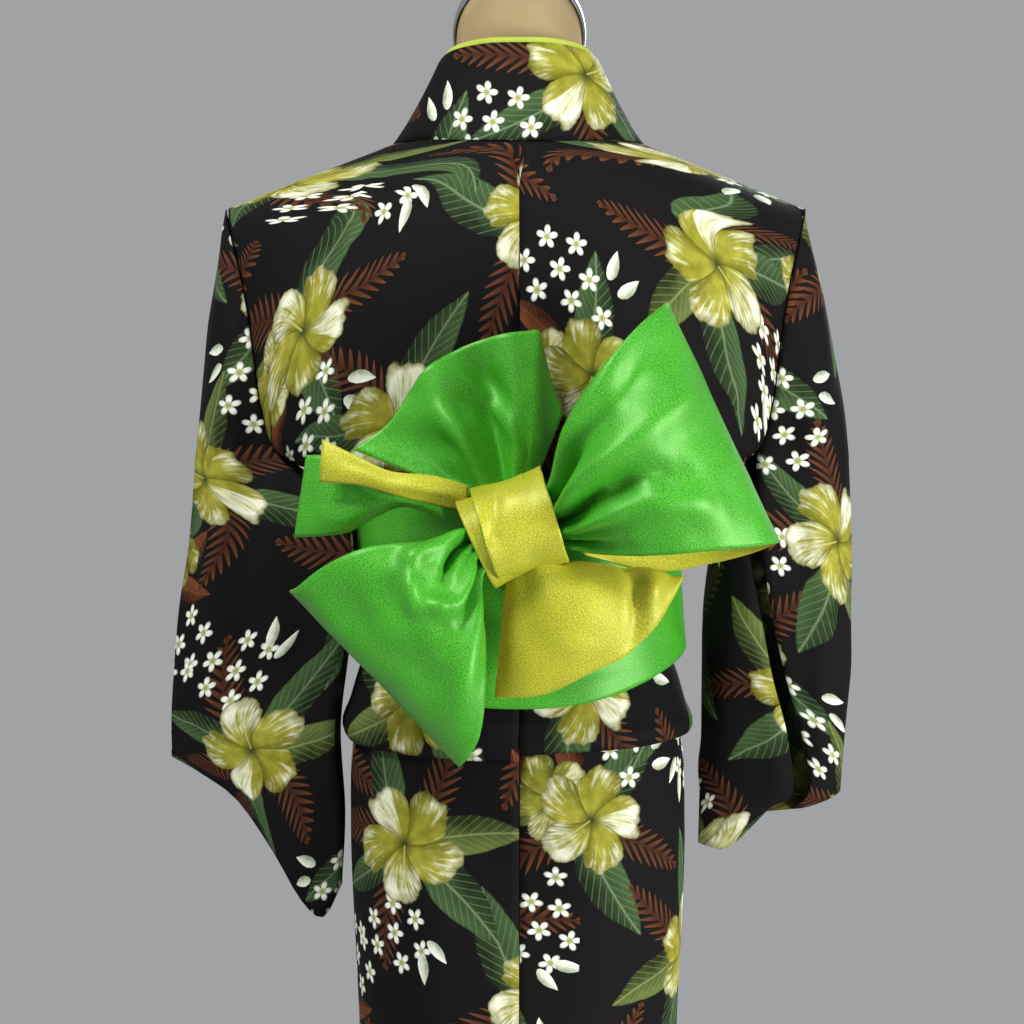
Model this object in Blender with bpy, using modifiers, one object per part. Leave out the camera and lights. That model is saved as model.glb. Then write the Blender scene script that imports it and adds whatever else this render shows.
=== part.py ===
# Cotton yukata with its own tied obi, worn by a limbless dress form.
# The back of the garment looks along +Y, its front along -Y, and +X is the wearer's left.
# The origin is on the floor, under the middle of the stand.
import math
from collections import namedtuple

import bpy
import bmesh
from mathutils import Matrix, Vector

# Driving sizes, in metres.
COTTON = 0.0012
SATIN = 0.0018
SEAM_GAP = 0.0004
ROUNDNESS = 0.87          # exponent of the waist outline, 1 is an ellipse
BODY_COLUMNS = 7
OVERLAP_COLUMNS = 6
SLEEVE_COLUMNS = 6
SIDE_SEAM = 105           # degrees round from centre back
OKUMI_SEAM = 198
OKUMI_EDGE = 262
POLE_RADIUS = 0.0125
BASE_RADIUS = 0.19
TORSO_BOTTOM = 0.700
NECK_TILT = math.radians(42)
NECK_TOP = 1.428          # height of the tilted neck plane on the axis

# Layers of cloth, as distances out from the innermost one. Left lies over right.
LAYERS = {
    "skirt": {1: 0.0030, -1: 0.0},
    "under": {1: 0.0058, -1: 0.0088},
    "outer": {1: 0.0146, -1: 0.0116},
    "upper": {1: 0.0142, -1: 0.0096},
}

# The body panels from the shoulder ridge down the back to the hem.
# z_in and x_in belong to the inner edge, z_out to the side edge, turn is the side edge's angle.
BackRow = namedtuple("BackRow", "z_in z_out depth half_width x_in turn layer")
BACK_ROWS = [
    BackRow(1.333, 1.278, 0.000, 0.262, 0.114, 90, "ridge"),
    BackRow(1.332, 1.273, 0.036, 0.262, 0.107, 86, "ridge"),
    BackRow(1.330, 1.262, 0.068, 0.262, 0.088, 82, "ridge"),
    BackRow(1.327, 1.246, 0.092, 0.260, 0.056, 78, "ridge"),
    BackRow(1.325, 1.222, 0.106, 0.256, 0.000, 75, "ridge"),
    BackRow(1.285, 1.185, 0.118, 0.250, 0.000, 73, "ridge"),
    BackRow(1.225, 1.138, 0.124, 0.243, 0.000, 73, "ridge"),
    BackRow(1.150, 1.095, 0.122, 0.236, 0.000, 74, "ridge"),
    BackRow(1.090, 1.060, 0.114, 0.222, 0.000, 76, "ridge"),
    BackRow(1.062, 1.047, 0.108, 0.188, 0.000, 88, "upper"),
    BackRow(1.040, 1.040, 0.099, 0.129, 0.000, SIDE_SEAM, "upper"),
    BackRow(0.990, 0.990, 0.096, 0.120, 0.000, SIDE_SEAM, "upper"),
    BackRow(0.890, 0.895, 0.094, 0.119, 0.000, SIDE_SEAM, "upper"),
    BackRow(0.855, 0.862, 0.097, 0.131, 0.000, SIDE_SEAM, "outer"),
    BackRow(0.828, 0.835, 0.105, 0.139, 0.000, SIDE_SEAM, "outer"),
    BackRow(0.806, 0.812, 0.111, 0.146, 0.000, SIDE_SEAM, "outer"),
    BackRow(0.799, 0.805, 0.111, 0.146, 0.000, SIDE_SEAM, "fold"),
    BackRow(0.806, 0.812, 0.111, 0.146, 0.000, SIDE_SEAM, "under"),
    BackRow(0.828, 0.835, 0.105, 0.139, 0.000, SIDE_SEAM, "under"),
    BackRow(0.855, 0.862, 0.097, 0.131, 0.000, SIDE_SEAM, "under"),
    BackRow(0.864, 0.871, 0.096, 0.130, 0.000, SIDE_SEAM, "tie"),
    BackRow(0.855, 0.862, 0.097, 0.131, 0.000, SIDE_SEAM, "skirt"),
    BackRow(0.828, 0.835, 0.105, 0.139, 0.000, SIDE_SEAM, "skirt"),
    BackRow(0.800, 0.806, 0.111, 0.146, 0.000, SIDE_SEAM, "skirt"),
    BackRow(0.720, 0.722, 0.114, 0.151, 0.000, SIDE_SEAM, "skirt"),
    BackRow(0.540, 0.540, 0.110, 0.144, 0.000, SIDE_SEAM, "skirt"),
    BackRow(0.300, 0.300, 0.105, 0.138, 0.000, SIDE_SEAM, "skirt"),
    BackRow(0.070, 0.070, 0.102, 0.134, 0.000, SIDE_SEAM, "skirt"),
]

# The front of the same panels. The inner edge is the collar seam, then the overlap seam.
# edge is the angle of the overlap's free edge, or 0 where there is no overlap piece.
FrontRow = namedtuple("FrontRow", "z_in depth x_in seam edge")
FRONT_ROWS = [
    FrontRow(1.333, 0.000, 0.1140, 0, 0),
    FrontRow(1.320, 0.036, 0.1110, 0, 0),
    FrontRow(1.292, 0.064, 0.1040, 0, 0),
    FrontRow(1.255, 0.084, 0.0930, 0, 0),
    FrontRow(1.212, 0.096, 0.0780, 0, 0),
    FrontRow(1.170, 0.102, 0.0620, 0, 0),
    FrontRow(1.122, 0.104, 0.0420, 0, 0),
    FrontRow(1.085, 0.102, 0.0300, 0, 0),
    FrontRow(1.062, 0.101, 0.0200, 0, 183),
    FrontRow(1.046, 0.090, 0, 175, 186),
    FrontRow(1.030, 0.089, 0, 178, 190),
    FrontRow(0.990, 0.087, 0, 183, 197),
    FrontRow(0.895, 0.088, 0, 190, 215),
    FrontRow(0.862, 0.091, 0, 193, 221),
    FrontRow(0.835, 0.097, 0, 195, 226),
    FrontRow(0.812, 0.101, 0, 196, 230),
    FrontRow(0.805, 0.101, 0, 196, 231),
    FrontRow(0.812, 0.101, 0, 196, 232),
    FrontRow(0.835, 0.097, 0, 196, 236),
    FrontRow(0.862, 0.091, 0, 197, 241),
    FrontRow(0.871, 0.090, 0, 197, 243),
    FrontRow(0.862, 0.091, 0, 197, 245),
    FrontRow(0.835, 0.097, 0, OKUMI_SEAM, 251),
    FrontRow(0.806, 0.101, 0, OKUMI_SEAM, 256),
    FrontRow(0.722, 0.102, 0, OKUMI_SEAM, OKUMI_EDGE),
    FrontRow(0.540, 0.100, 0, OKUMI_SEAM, OKUMI_EDGE),
    FrontRow(0.300, 0.098, 0, OKUMI_SEAM, OKUMI_EDGE),
    FrontRow(0.070, 0.096, 0, OKUMI_SEAM, OKUMI_EDGE),
]
UNDERARM_ROW = 8          # last row that is sewn to the sleeve
KENSAKI_ROW = 8           # first row with an overlap piece
COLLAR_END_ROW = 14
SHOULDER_REACH = {1: 1.0, -1: 0.975}    # the right shoulder lies a little shorter

# The collar: the free edge that stands round the neck, paired with the panels' rows.
CollarRow = namedtuple("CollarRow", "x y z")
COLLAR_FREE_EDGE = [
    CollarRow(0.000, 0.083, 1.412),
    CollarRow(0.036, 0.078, 1.411),
    CollarRow(0.062, 0.058, 1.407),
    CollarRow(0.074, 0.026, 1.396),
    CollarRow(0.078, -0.008, 1.372),
    CollarRow(0.072, -0.040, 1.338),
    CollarRow(0.060, -0.068, 1.298),
    CollarRow(0.046, -0.086, 1.256),
    CollarRow(0.030, -0.097, 1.212),
]
COLLAR_WIDTH = 0.054
COLLAR_PARTS = (0.0, 0.36, 0.70, 1.0)
COLLAR_SEAM_PART = 0.035  # share of its width that clears the seam
COLLAR_RISE = 0.016       # how far the free edge stands above the seam on the slanting front
COLLAR_EASE = {8: 0.012, 9: 0.006}      # the rise dies away on these rows
COLLAR_WAIST_RISE = 0.001
WAIST_ROW = 10
FRONT_LAP = 0.0034        # half the distance between the crossing fronts
TRIM_STATIONS = 8
TRIM_SHOWING = 0.006
TRIM_DEPTH = 0.030
TRIM_GAP = 0.0032

# Sleeves below the arm, top to bottom. edge is the free edge at the back, fold the front
# layer's turn towards the body, and curl where that layer's free edge ends.
SleeveRow = namedtuple("SleeveRow", "z_in z_out x_edge x_out depth x_fold x_curl y_curl")
ARM_OUTLINE = {           # x of the outer fold beside each of the sewn rows
    1: [0.2640, 0.2660, 0.2680, 0.2700, 0.2735, 0.2800, 0.2850, 0.2900, 0.2935],
    -1: [0.2550, 0.2580, 0.2610, 0.2650, 0.2720, 0.2800, 0.2880, 0.2960, 0.3000],
}
ARM_DROP = [0.0020, 0.0060, 0.0080, 0.0090, 0.0090, 0.0080, 0.0070, 0.0060, 0.0060]
SLEEVE_ROWS = {
    1: [
        SleeveRow(1.000, 0.980, 0.151, 0.3010, 0.052, 0.151, 0.151, 0),
        SleeveRow(0.930, 0.924, 0.150, 0.3090, 0.050, 0.150, 0.150, 0),
        SleeveRow(0.860, 0.872, 0.160, 0.3140, 0.042, 0.160, 0.160, 0),
        SleeveRow(0.800, 0.830, 0.166, 0.3170, 0.034, 0.166, 0.166, 0),
        SleeveRow(0.730, 0.802, 0.161, 0.3180, 0.018, 0.161, 0.161, 0),
    ],
    -1: [
        SleeveRow(1.000, 0.990, 0.213, 0.3010, 0.052, 0.182, 0.200, 0.052),
        SleeveRow(0.930, 0.924, 0.222, 0.3020, 0.048, 0.170, 0.212, 0.050),
        SleeveRow(0.860, 0.868, 0.238, 0.3030, 0.040, 0.168, 0.226, 0.044),
        SleeveRow(0.800, 0.816, 0.256, 0.2990, 0.028, 0.167, 0.242, 0.034),
        SleeveRow(0.745, 0.768, 0.262, 0.2960, 0.014, 0.166, 0.246, 0.020),
    ],
}
# The sewn bottom edge, from the body side outwards, and the front layer's own corner.
SLEEVE_BOTTOM = {
    1: [(0.163, 0.662), (0.184, 0.624), (0.208, 0.656), (0.245, 0.728), (0.285, 0.760), (0.318, 0.780)],
    -1: [(0.250, 0.731), (0.262, 0.732), (0.272, 0.735), (0.283, 0.739), (0.290, 0.743), (0.295, 0.748)],
}
CORNER_BOTTOM = [(0.250, 0.731), (0.224, 0.734), (0.196, 0.702), (0.181, 0.688), (0.165, 0.700)]
CUFF_ROWS = (9, 12)       # the outer fold is open between these rows
CUFF_OPENING = 0.007

# The sash round the waist, at centre back, sides and centre front.
BAND_TOP = (1.026, 1.022, 1.012)
BAND_BOTTOM = (0.843, 0.884, 0.860)
BAND_HALF_WIDTH = 0.126
BAND_BACK = 0.100
BAND_FRONT = 0.089
BAND_CLEARANCE = 0.0182
BAND_COLUMNS = 32

# The tied part of the sash. A row gives both edges of the cloth across its length.
Fold = namedtuple("Fold", "x1 z1 x2 z2 y crown")
UPPER_LOOP = [
    Fold(-0.021, 1.037, -0.043, 0.987, 0.210, 0.004),
    Fold(-0.035, 1.085, -0.081, 0.984, 0.240, 0.012),
    Fold(-0.064, 1.132, -0.132, 0.987, 0.256, 0.014),
    Fold(-0.093, 1.165, -0.176, 0.990, 0.246, 0.010),
    Fold(-0.114, 1.182, -0.202, 0.992, 0.226, 0.004),
    Fold(-0.118, 1.184, -0.210, 0.991, 0.200, 0.000),
    Fold(-0.108, 1.173, -0.195, 0.981, 0.170, -0.004),
    Fold(-0.079, 1.129, -0.161, 0.970, 0.152, -0.006),
    Fold(-0.049, 1.075, -0.114, 0.963, 0.150, -0.004),
    Fold(-0.025, 1.027, -0.054, 0.978, 0.170, 0.000),
]
LOWER_LOOP = [
    Fold(0.045, 1.002, 0.031, 0.961, 0.210, 0.004),
    Fold(0.075, 0.995, 0.027, 0.917, 0.232, 0.010),
    Fold(0.118, 0.991, 0.027, 0.877, 0.240, 0.012),
    Fold(0.155, 0.975, 0.033, 0.836, 0.232, 0.008),
    Fold(0.181, 0.955, 0.045, 0.814, 0.216, 0.004),
    Fold(0.187, 0.951, 0.050, 0.807, 0.192, 0.000),
    Fold(0.175, 0.949, 0.053, 0.815, 0.164, -0.004),
    Fold(0.134, 0.959, 0.046, 0.853, 0.146, -0.006),
    Fold(0.087, 0.970, 0.038, 0.904, 0.144, -0.004),
    Fold(0.051, 0.984, 0.031, 0.950, 0.168, 0.000),
]
LOWER_TAIL = [
    Fold(0.010, 0.957, 0.021, 0.861, 0.170, 0.004),
    Fold(0.002, 0.957, -0.016, 0.864, 0.186, 0.010),
    Fold(-0.011, 0.961, -0.056, 0.883, 0.194, 0.012),
    Fold(-0.023, 0.967, -0.090, 0.900, 0.192, 0.012),
    Fold(-0.034, 0.972, -0.118, 0.932, 0.184, 0.010),
    Fold(-0.044, 0.973, -0.137, 0.963, 0.170, 0.004),
    Fold(-0.046, 0.967, -0.130, 0.953, 0.154, 0.000),
    Fold(-0.037, 0.957, -0.101, 0.914, 0.144, 0.000),
]
FAN_TAIL = [
    Fold(-0.008, 1.050, -0.035, 1.129, 0.134, 0.004),
    Fold(-0.006, 1.050, -0.019, 1.162, 0.144, 0.010),
    Fold(0.002, 1.048, 0.008, 1.162, 0.152, 0.004),
    Fold(0.011, 1.046, 0.035, 1.155, 0.146, -0.006),
    Fold(0.019, 1.045, 0.060, 1.144, 0.150, 0.006),
    Fold(0.028, 1.044, 0.080, 1.129, 0.158, 0.012),
    Fold(0.035, 1.042, 0.095, 1.108, 0.154, 0.004),
    Fold(0.041, 1.040, 0.109, 1.087, 0.154, -0.002),
    Fold(0.045, 1.038, 0.138, 1.065, 0.158, 0.002),
]
STRIP_TAIL = [
    Fold(0.042, 1.036, 0.045, 1.016, 0.176, 0.001),
    Fold(0.073, 1.045, 0.071, 1.021, 0.184, 0.003),
    Fold(0.105, 1.048, 0.098, 1.028, 0.186, 0.003),
    Fold(0.132, 1.060, 0.131, 1.037, 0.182, 0.004),
    Fold(0.162, 1.074, 0.164, 1.039, 0.174, 0.004),
]
SIDE_FLAP = [
    Fold(0.064, 1.023, 0.064, 1.007, 0.144, 0.002),
    Fold(0.100, 1.032, 0.100, 1.017, 0.152, 0.003),
    Fold(0.121, 1.042, 0.121, 1.009, 0.156, 0.005),
    Fold(0.141, 1.053, 0.141, 0.997, 0.156, 0.006),
    Fold(0.163, 1.060, 0.165, 0.993, 0.152, 0.005),
    Fold(0.178, 1.060, 0.189, 0.991, 0.144, 0.003),
]
SASH_COLUMNS = 6
KNOT_TURNS = 20
KNOT_SLEEVE = 4
KNOT_CENTRE = Vector((0.000, 0.176, 1.004))
KNOT_TILT = math.radians(17)
KNOT_REACH = 0.050        # from its middle to the front, along Y
KNOT_HALF_HEIGHT = 0.040
KNOT_HALF_LENGTH = 0.030

# The dress form, from its flat underside to the neck.
FormRow = namedtuple("FormRow", "z half_width back front")
FORM_ROWS = [
    FormRow(TORSO_BOTTOM, 0.120, 0.094, 0.084),
    FormRow(0.725, 0.130, 0.098, 0.086),
    FormRow(0.780, 0.136, 0.101, 0.090),
    FormRow(0.830, 0.128, 0.095, 0.085),
    FormRow(0.885, 0.122, 0.089, 0.080),
    FormRow(0.950, 0.119, 0.087, 0.079),
    FormRow(1.030, 0.128, 0.094, 0.084),
    FormRow(1.110, 0.148, 0.104, 0.090),
    FormRow(1.180, 0.172, 0.110, 0.090),
    FormRow(1.225, 0.196, 0.102, 0.080),
    FormRow(1.255, 0.212, 0.084, 0.064),
    FormRow(1.276, 0.212, 0.056, 0.044),
    FormRow(1.291, 0.194, 0.038, 0.034),
    FormRow(1.304, 0.160, 0.040, 0.036),
    FormRow(1.316, 0.122, 0.044, 0.040),
    FormRow(1.330, 0.088, 0.050, 0.045),
    FormRow(1.350, 0.067, 0.053, 0.050),
    FormRow(1.385, 0.058, 0.055, 0.053),
]
FORM_COLUMNS = 32
NECK_RADIUS = 0.056

parts = bpy.data.collections.new("yukata_on_dress_form")


def clear_scene():
    for thing in list(bpy.data.objects):
        bpy.data.objects.remove(thing)


def make_material(name, colour, roughness, metallic=0.0):
    material = bpy.data.materials.new(name)
    material.use_nodes = True
    shader = material.node_tree.nodes["Principled BSDF"]
    shader.inputs["Base Color"].default_value = (*colour, 1.0)
    shader.inputs["Roughness"].default_value = roughness
    shader.inputs["Metallic"].default_value = metallic
    return material


def link_piece(name, mesh, material):
    piece = bpy.data.objects.new(name, mesh)
    mesh.materials.append(material)
    mesh.shade_smooth()
    parts.objects.link(piece)
    return piece


def add_wall(piece, thickness):
    solidify = piece.modifiers.new("wall", "SOLIDIFY")
    solidify.thickness = thickness
    solidify.offset = 0.0
    solidify.use_even_offset = False
    return piece


def sheet(name, rows, material, thickness, closed=False, open_cells=()):
    """An open sheet through rows of points, given its thickness. Cells in open_cells stay open."""
    work = bmesh.new()
    grid = [[work.verts.new(point) for point in row] for row in rows]
    for r, (low, high) in enumerate(zip(grid, grid[1:])):
        for c in range(len(low) if closed else len(low) - 1):
            if (r, c) in open_cells:
                continue
            d = (c + 1) % len(low)
            work.faces.new((low[c], low[d], high[d], high[c]))
    bmesh.ops.remove_doubles(work, verts=work.verts, dist=0.00025)
    bmesh.ops.recalc_face_normals(work, faces=work.faces)
    mesh = bpy.data.meshes.new(name)
    work.to_mesh(mesh)
    work.free()
    return add_wall(link_piece(name, mesh, material), thickness)


def power(value, exponent):
    return math.copysign(abs(value) ** exponent, value)


def plan(half_width, back, front, degrees):
    """A point of the waist outline, degrees round from centre back towards +X."""
    angle = math.radians(degrees)
    across = half_width * power(math.sin(angle), ROUNDNESS)
    along = power(math.cos(angle), ROUNDNESS)
    return across, along * (back if along > 0 else front)


def angle_of(x, half_width):
    return math.degrees(math.asin(min(1.0, (x / half_width) ** (1 / ROUNDNESS))))


def blend(start, end, amount):
    return start + (end - start) * amount


def layer_offset(layer, side, degrees):
    """Distance outwards of a layer: equal at the back, left over right at the front."""
    if layer == "ridge":
        return 0.0
    if layer == "fold":
        return blend(layer_offset("under", side, degrees), layer_offset("outer", side, degrees), 0.5)
    if layer == "tie":
        return blend(layer_offset("skirt", side, degrees), layer_offset("under", side, degrees), 0.5)
    pair = LAYERS[layer]
    amount = min(1.0, max(0.0, (degrees - 55) / 30))
    return blend((pair[1] + pair[-1]) / 2, pair[side], amount)


def fold_height(layer, side):
    """The turns of the waist tuck nest in each other, so their heights differ by side."""
    reach = 0.0032
    if layer == "fold":
        return -reach if side > 0 else reach
    if layer == "tie":
        return -reach if side > 0 else reach
    return 0.0


def surface(index, side, degrees, front):
    """A point of the robe on row index, at an angle from centre back, on its own layer."""
    back_row = BACK_ROWS[index]
    front_row = FRONT_ROWS[index]
    out = layer_offset(back_row.layer, side, degrees)
    half_width = back_row.half_width + out
    x, y = plan(half_width, back_row.depth + out * (back_row.depth > 0),
                front_row.depth + out * (front_row.depth > 0), degrees)
    if front:
        z_in, x_in = front_row.z_in, front_row.x_in
    else:
        z_in, x_in = back_row.z_in, back_row.x_in
    amount = min(1.0, max(0.0, (abs(x) - x_in) / (half_width - x_in)))
    if degrees > 180:
        amount = 0.0
    z = blend(z_in, back_row.z_out, amount) + fold_height(back_row.layer, side)
    if back_row.layer == "ridge":
        x *= blend(1.0, SHOULDER_REACH[side], min(1.0, abs(x) / 0.26))
    if front and back_row.layer == "ridge" and front_row.depth > 0:
        lap = max(0.0, 1 - abs(x) / 0.40)
        y -= side * FRONT_LAP * lap
    return Vector((x * side, y, z))


def surface_above(index, side, degrees, lift):
    """A point of the front at an angle, a given height above row index."""
    low = surface(index, side, degrees, True)
    high = surface(index - 1, side, degrees, True)
    step = max(0.002, high.z - low.z)
    if step < lift:
        top = surface(index - 2, side, degrees, True)
        return high.lerp(top, min(1.0, (lift - step) / max(0.002, top.z - high.z)))
    return low.lerp(high, lift / step)


def panel_row(index, side, front):
    """One row of a body panel, from its inner edge to its side edge."""
    back_row = BACK_ROWS[index]
    front_row = FRONT_ROWS[index]
    wide = back_row.half_width
    if not front:
        start = angle_of(back_row.x_in, wide)
        end = back_row.turn
    elif front_row.seam:
        start = front_row.seam
        end = max(back_row.turn, 180 - back_row.turn) + 0.3
    else:
        start = 180 - angle_of(front_row.x_in, wide)
        end = 180 - back_row.turn
    row = []
    for c in range(BODY_COLUMNS + 1):
        degrees = blend(start, end, c / BODY_COLUMNS)
        row.append(surface(index, side, degrees, front))
    if not front and back_row.x_in == 0:
        row[0].x = side * SEAM_GAP
    return row


def body_panel(side, material):
    back = [panel_row(i, side, False) for i in range(len(BACK_ROWS))]
    front = [panel_row(i, side, True) for i in range(1, len(BACK_ROWS))]
    rows = list(reversed(back)) + front
    return sheet("body_left" if side > 0 else "body_right", rows, material, COTTON)


def okumi_row(index, side):
    """The overlap between the panel's inner edge and the free or collar edge."""
    front_row = FRONT_ROWS[index]
    wide = BACK_ROWS[index].half_width
    seam = front_row.seam or 180 - angle_of(front_row.x_in, wide)
    gap = math.degrees((SEAM_GAP + 0.0003) / wide) * 1.6
    row = []
    for c in range(OVERLAP_COLUMNS + 1):
        degrees = blend(seam + gap, front_row.edge, c / OVERLAP_COLUMNS)
        row.append(surface(index, side, degrees, True))
    return row


def okumi(side, material):
    rows = [okumi_row(i, side) for i in range(KENSAKI_ROW, len(FRONT_ROWS))]
    return sheet("okumi_left" if side > 0 else "okumi_right", rows, material, COTTON)


def collar_stations(side):
    """Rows across the collar from its seam to its free edge, centre back to the collar's end."""
    stations = []
    neck = [panel_row(i, side, False)[0] for i in (4, 3, 2, 1)]
    neck += [panel_row(i, side, True)[0] for i in (0, 1, 2, 3, 4)]
    neck[0].x = 0.0
    for seam, free in zip(neck, COLLAR_FREE_EDGE):
        edge = Vector((free.x * side, free.y - side * FRONT_LAP * (free.y < 0), free.z))
        start = seam + (edge - seam).normalized() * (COTTON * 0.5 + SEAM_GAP + 0.0004)
        stations.append([start.lerp(edge, part) for part in COLLAR_PARTS])
    for i in range(5, COLLAR_END_ROW + 1):
        front_row = FRONT_ROWS[i]
        wide = BACK_ROWS[i].half_width
        angle = front_row.edge or 180 - angle_of(front_row.x_in, wide)
        width = math.degrees(COLLAR_WIDTH / (wide * 0.92)) * 0.93
        rise = COLLAR_EASE.get(i, COLLAR_RISE if i < WAIST_ROW else COLLAR_WAIST_RISE)
        row = []
        for part in COLLAR_PARTS:
            reach = blend(COLLAR_SEAM_PART, 1.0, part)
            row.append(surface_above(i, side, angle + width * reach, rise * part))
        stations.append(row)
    return stations


def both_sides(left, right):
    """Stations of the left and the right half, joined through centre back."""
    return list(reversed(left)) + right[1:]


def collar(material):
    rows = both_sides(collar_stations(1), collar_stations(-1))
    return sheet("collar", rows, material, COTTON)


def collar_trim(material):
    """The narrow lime collar inside the robe's collar, a little proud of it round the neck."""
    rows = []
    halves = [collar_stations(side)[:TRIM_STATIONS] for side in (1, -1)]
    for station in both_sides(*halves):
        seam, free = station[0], station[-1]
        up = (free - seam).normalized()
        inward = Vector((-free.x, -free.y, 0.0)).normalized()
        inward = (inward - up * inward.dot(up)).normalized()
        top = free + up * TRIM_SHOWING + inward * TRIM_GAP * 0.8
        middle = free - up * 0.004 + inward * TRIM_GAP
        low = free - up * TRIM_DEPTH + inward * TRIM_GAP * 2.2
        rows.append([top, middle, low])
    return sheet("collar_trim", rows, material, COTTON)


def sleeve_row(index, side):
    """Back half and front half of a sleeve's outline at one height, and its turned-in part."""
    if index <= UNDERARM_ROW:
        back = panel_row(index, side, False)[-1].copy()
        front = panel_row(index, side, True)[-1].copy()
        gap = COTTON * 0.5 + SEAM_GAP + (0.0018 if index < 2 else 0.0006)
        back.x += side * gap
        front.x += side * gap
        x_out = ARM_OUTLINE[side][index]
        z_out = back.z - ARM_DROP[index]
        fold = curl = front
    else:
        row = SLEEVE_ROWS[side][index - UNDERARM_ROW - 1]
        back = Vector((side * row.x_edge, row.depth, row.z_in))
        front = Vector((side * row.x_edge, -row.depth * 0.9, row.z_in))
        fold = Vector((side * row.x_fold, 0.0, row.z_in))
        curl = Vector((side * row.x_curl, row.y_curl, row.z_in))
        x_out, z_out = row.x_out, row.z_out
    outer = Vector((side * x_out, 0.0, z_out))
    halves = []
    for edge in (back, front):
        line = []
        for c in range(SLEEVE_COLUMNS + 1):
            amount = c / SLEEVE_COLUMNS
            point = edge.lerp(outer, amount)
            point.y = edge.y * (1 - amount ** 3) ** 0.6
            line.append(point)
        halves.append(line)
    return halves[0], halves[1], front, fold, curl


def along_outline(points, amount):
    place = amount * (len(points) - 1)
    first = min(int(place), len(points) - 2)
    start, end = points[first], points[first + 1]
    part = place - first
    return blend(start[0], end[0], part), blend(start[1], end[1], part)


def turned_part(front, fold, curl):
    """The front layer beyond its middle: round the fold near the body, then back outwards."""
    middle = Vector((blend(front.x, fold.x, 0.55), front.y * 0.92, front.z))
    bend = Vector((blend(front.x, fold.x, 0.96), front.y * 0.45, front.z))
    back = Vector((blend(fold.x, curl.x, 0.30), blend(fold.y, curl.y, 0.75), front.z))
    return [front.copy(), middle, bend, fold.copy(), back, curl.copy()]


def sleeve(side, material):
    last = UNDERARM_ROW + len(SLEEVE_ROWS[side]) + 1
    rows = []
    for index in range(last):
        back, front, middle, fold, curl = sleeve_row(index, side)
        if CUFF_ROWS[0] <= index <= CUFF_ROWS[1]:
            amount = math.sin(math.pi * (index - CUFF_ROWS[0] + 0.5) / 4)
            back[-1].y += CUFF_OPENING * amount
            front[-1].y -= CUFF_OPENING * amount
        row = back + list(reversed(front))
        if side < 0:
            tail = turned_part(middle, fold, curl) if index > UNDERARM_ROW else [middle.copy()] * 6
            row += tail[1:]
        rows.append(row)
    bottom = []
    for c in range(SLEEVE_COLUMNS + 1):
        x, z = along_outline(SLEEVE_BOTTOM[side], c / SLEEVE_COLUMNS)
        bottom.append(Vector((side * x, 0.0, z)))
    row = [point.copy() for point in bottom] + [point.copy() for point in reversed(bottom)]
    if side < 0:
        corner = [along_outline(CORNER_BOTTOM, (c + 1) / 3) for c in range(3)]
        row += [Vector((-x, -0.004, z)) for x, z in corner]
        row[-1].y = 0.0
        row += [Vector((-0.190, 0.008, 0.696)), Vector((-0.232, 0.010, 0.738))]
    rows.append(row)
    open_cells = {(r, SLEEVE_COLUMNS) for r in range(CUFF_ROWS[0], CUFF_ROWS[1])}
    return sheet("sleeve_left" if side > 0 else "sleeve_right", rows, material, COTTON,
                 open_cells=open_cells)


def band(material):
    rows = []
    for level in (0.0, 0.33, 0.67, 1.0):
        row = []
        for c in range(BAND_COLUMNS):
            degrees = 360 * c / BAND_COLUMNS
            turn = degrees if degrees <= 180 else 360 - degrees
            back_side = max(0.0, math.cos(math.radians(turn)))
            front_side = max(0.0, -math.cos(math.radians(turn)))
            heights = []
            for back, beside, front in (BAND_BOTTOM, BAND_TOP):
                heights.append(beside + (back - beside) * back_side ** 2 + (front - beside) * front_side ** 2)
            z = blend(heights[0], heights[1], level)
            flare = BAND_CLEARANCE + 0.0075 * (1 - level) ** 2 + 0.003 * level ** 3
            x, y = plan(BAND_HALF_WIDTH + flare, BAND_BACK + flare, BAND_FRONT + flare, turn)
            row.append(Vector((x if degrees <= 180 else -x, y, z)))
        rows.append(row)
    return sheet("obi_band", rows, material, SATIN, closed=True)


def tied_piece(name, folds, material, columns=SASH_COLUMNS):
    """A stretch of the sash through its folds, crowned between its two edges."""
    rows = []
    for fold in folds:
        row = []
        for c in range(columns + 1):
            amount = c / columns
            crown = fold.crown * math.sin(math.pi * amount)
            row.append(Vector((blend(fold.x1, fold.x2, amount), fold.y + crown,
                               blend(fold.z1, fold.z2, amount))))
        rows.append(row)
    return sheet(name, rows, material, SATIN)


def knot(material):
    """The short stretch wrapped round the middle of the bow, open at both ends."""
    turn = Matrix.Rotation(KNOT_TILT, 3, "Y")
    rows = []
    for r in range(KNOT_SLEEVE + 1):
        along = blend(-1.0, 1.0, r / KNOT_SLEEVE)
        row = []
        for c in range(KNOT_TURNS):
            angle = 2 * math.pi * c / KNOT_TURNS
            swell = 1.0 - 0.06 * (1 - along * along)
            point = Vector((
                along * KNOT_HALF_LENGTH,
                power(math.cos(angle), 0.8) * KNOT_REACH * swell,
                power(math.sin(angle), 0.8) * KNOT_HALF_HEIGHT * swell,
            ))
            row.append(KNOT_CENTRE + turn @ point)
        rows.append(row)
    return sheet("obi_knot", rows, material, SATIN, closed=True)


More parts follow.
